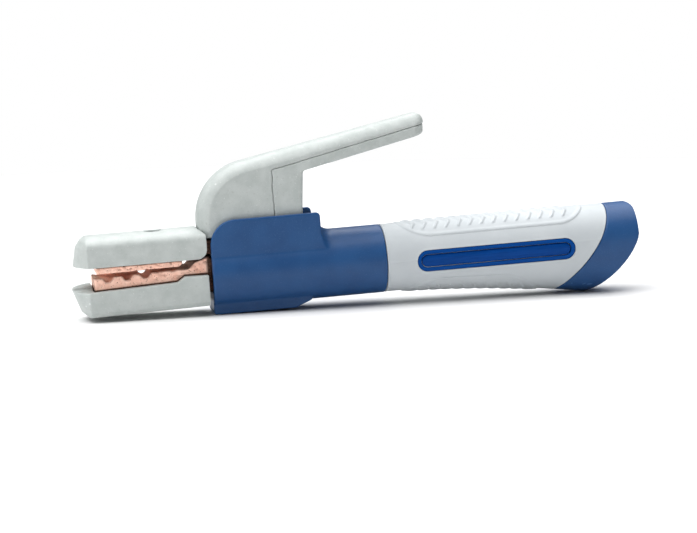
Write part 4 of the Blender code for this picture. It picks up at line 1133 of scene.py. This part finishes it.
def add_light(name, place, target, size, watts):
    """A soft white area light that faces a target."""
    light = bpy.data.lights.new(name, "AREA")
    light.shape = "RECTANGLE"
    light.size, light.size_y = size
    light.energy = watts
    obj = bpy.data.objects.new(name, light)
    bpy.context.scene.collection.objects.link(obj)
    obj.location = place
    obj.rotation_euler = (target - obj.location).to_track_quat("-Z", "Y").to_euler()


def add_lights():
    """A large light overhead, two weak ones in front and a white surround."""
    centre = (CAD_LOW + CAD_HIGH) / 2
    add_light("overhead", centre + Vector((-0.15, 0.2, 1.45)), centre, (3.0, 2.4), 78.0)
    add_light("front", centre + Vector((-0.1, -1.5, 0.45)), centre, (1.4, 0.9), 1.0)
    add_light("left", centre + Vector((-1.2, -0.5, 0.4)), centre, (0.8, 0.8), 2.2)
    world = bpy.data.worlds.new("studio")
    bpy.context.scene.world = world
    world.use_nodes = True
    tree = world.node_tree
    path = add_node(tree, "ShaderNodeLightPath")
    strength = remap(tree, path.outputs["Is Camera Ray"], 0.0, 1.0, WORLD_LIGHT, 1.0)
    tree.links.new(strength, tree.nodes["Background"].inputs["Strength"])
    tree.nodes["Background"].inputs["Color"].default_value = (1.0, 1.0, 1.0, 1.0)


def add_camera():
    """Seen from the front right, 8 degrees above, with the camera rolled by 4 degrees."""
    azimuth, elevation, roll = (math.radians(v) for v in (AZIMUTH_DEG, ELEVATION_DEG, ROLL_DEG))
    flat = math.cos(elevation)
    back = Vector((math.sin(azimuth) * flat, -math.cos(azimuth) * flat, math.sin(elevation)))
    right = Vector((math.cos(azimuth), math.sin(azimuth), 0.0))
    up = back.cross(right)
    image_right = right * math.cos(roll) - up * math.sin(roll)
    image_up = right * math.sin(roll) + up * math.cos(roll)
    place = FROM_HANDLE @ (back * CAMERA_DISTANCE + image_right * VIEW_RIGHT + image_up * VIEW_UP)
    lens = bpy.data.cameras.new("camera")
    lens.sensor_width = 36.0
    lens.lens = 125.0
    lens.clip_start = 0.05
    camera = bpy.data.objects.new("camera", lens)
    bpy.context.scene.collection.objects.link(camera)
    rotation = Matrix((image_right, image_up, back)).transposed()
    camera.matrix_world = Matrix.Translation(place) @ rotation.to_4x4()
    bpy.context.scene.camera = camera


# ------------------------------ all of it


def main():
    """Builds every piece and material, and then the floor, the lights and the camera."""
    scene = bpy.context.scene
    for name in ("Cube", "Light", "Camera"):
        spare = bpy.data.objects.get(name)
        if spare:
            bpy.data.objects.remove(spare)
    scene.view_settings.view_transform = "Standard"
    blue, grey, soft = blue_plastic(), grey_moulding(), soft_grip_grey()
    # cast_copper's x: behind it the copper is painted nearly black as painted shade; on the lever core this
    # starts at the upper insulator's front.
    copper = cast_copper("cast_copper", UPPER[1].x)
    core_copper = cast_copper("shaded_copper", UPPER[0].x)
    steel, dark = zinc_steel(), dark_insulation()

    add_grip(soft)
    rim = badge_blue("badge_rim", (0.001, 0.048, 0.230), (0.002, 0.064, 0.290), 0.40)
    label = badge_blue("badge_label", (0.001, 0.040, 0.200), (0.002, 0.056, 0.270), 0.22)
    add_badges(rim, label)
    add_cap(blue)
    add_housing(blue)
    add_upper_insulator(grey)
    add_castings(copper, core_copper, grey)
    add_lever_shell(grey)
    add_under_cover(grey)
    add_spring(steel)
    screws = ["lower_insulator_screw", "upper_insulator_screw", "housing_screw", "handle_lock_screw"]
    screws += ["lever_cover_screw_1", "lever_cover_screw_2", "cable_screw_1", "cable_screw_2"]
    finish_cad_nodes({
        steel: screws + ["pivot_pin", "pivot_clip_left", "pivot_clip_right"],
        dark: ["pivot_bush", "spring_seat_lower", "spring_seat_upper"],
        brass_metal(): ["cable_socket"],
        copper: ["cable_pressure_plate"],
        blue: ["handle_tube"],
    })
    add_floor()
    add_lights()
    add_camera()


main()
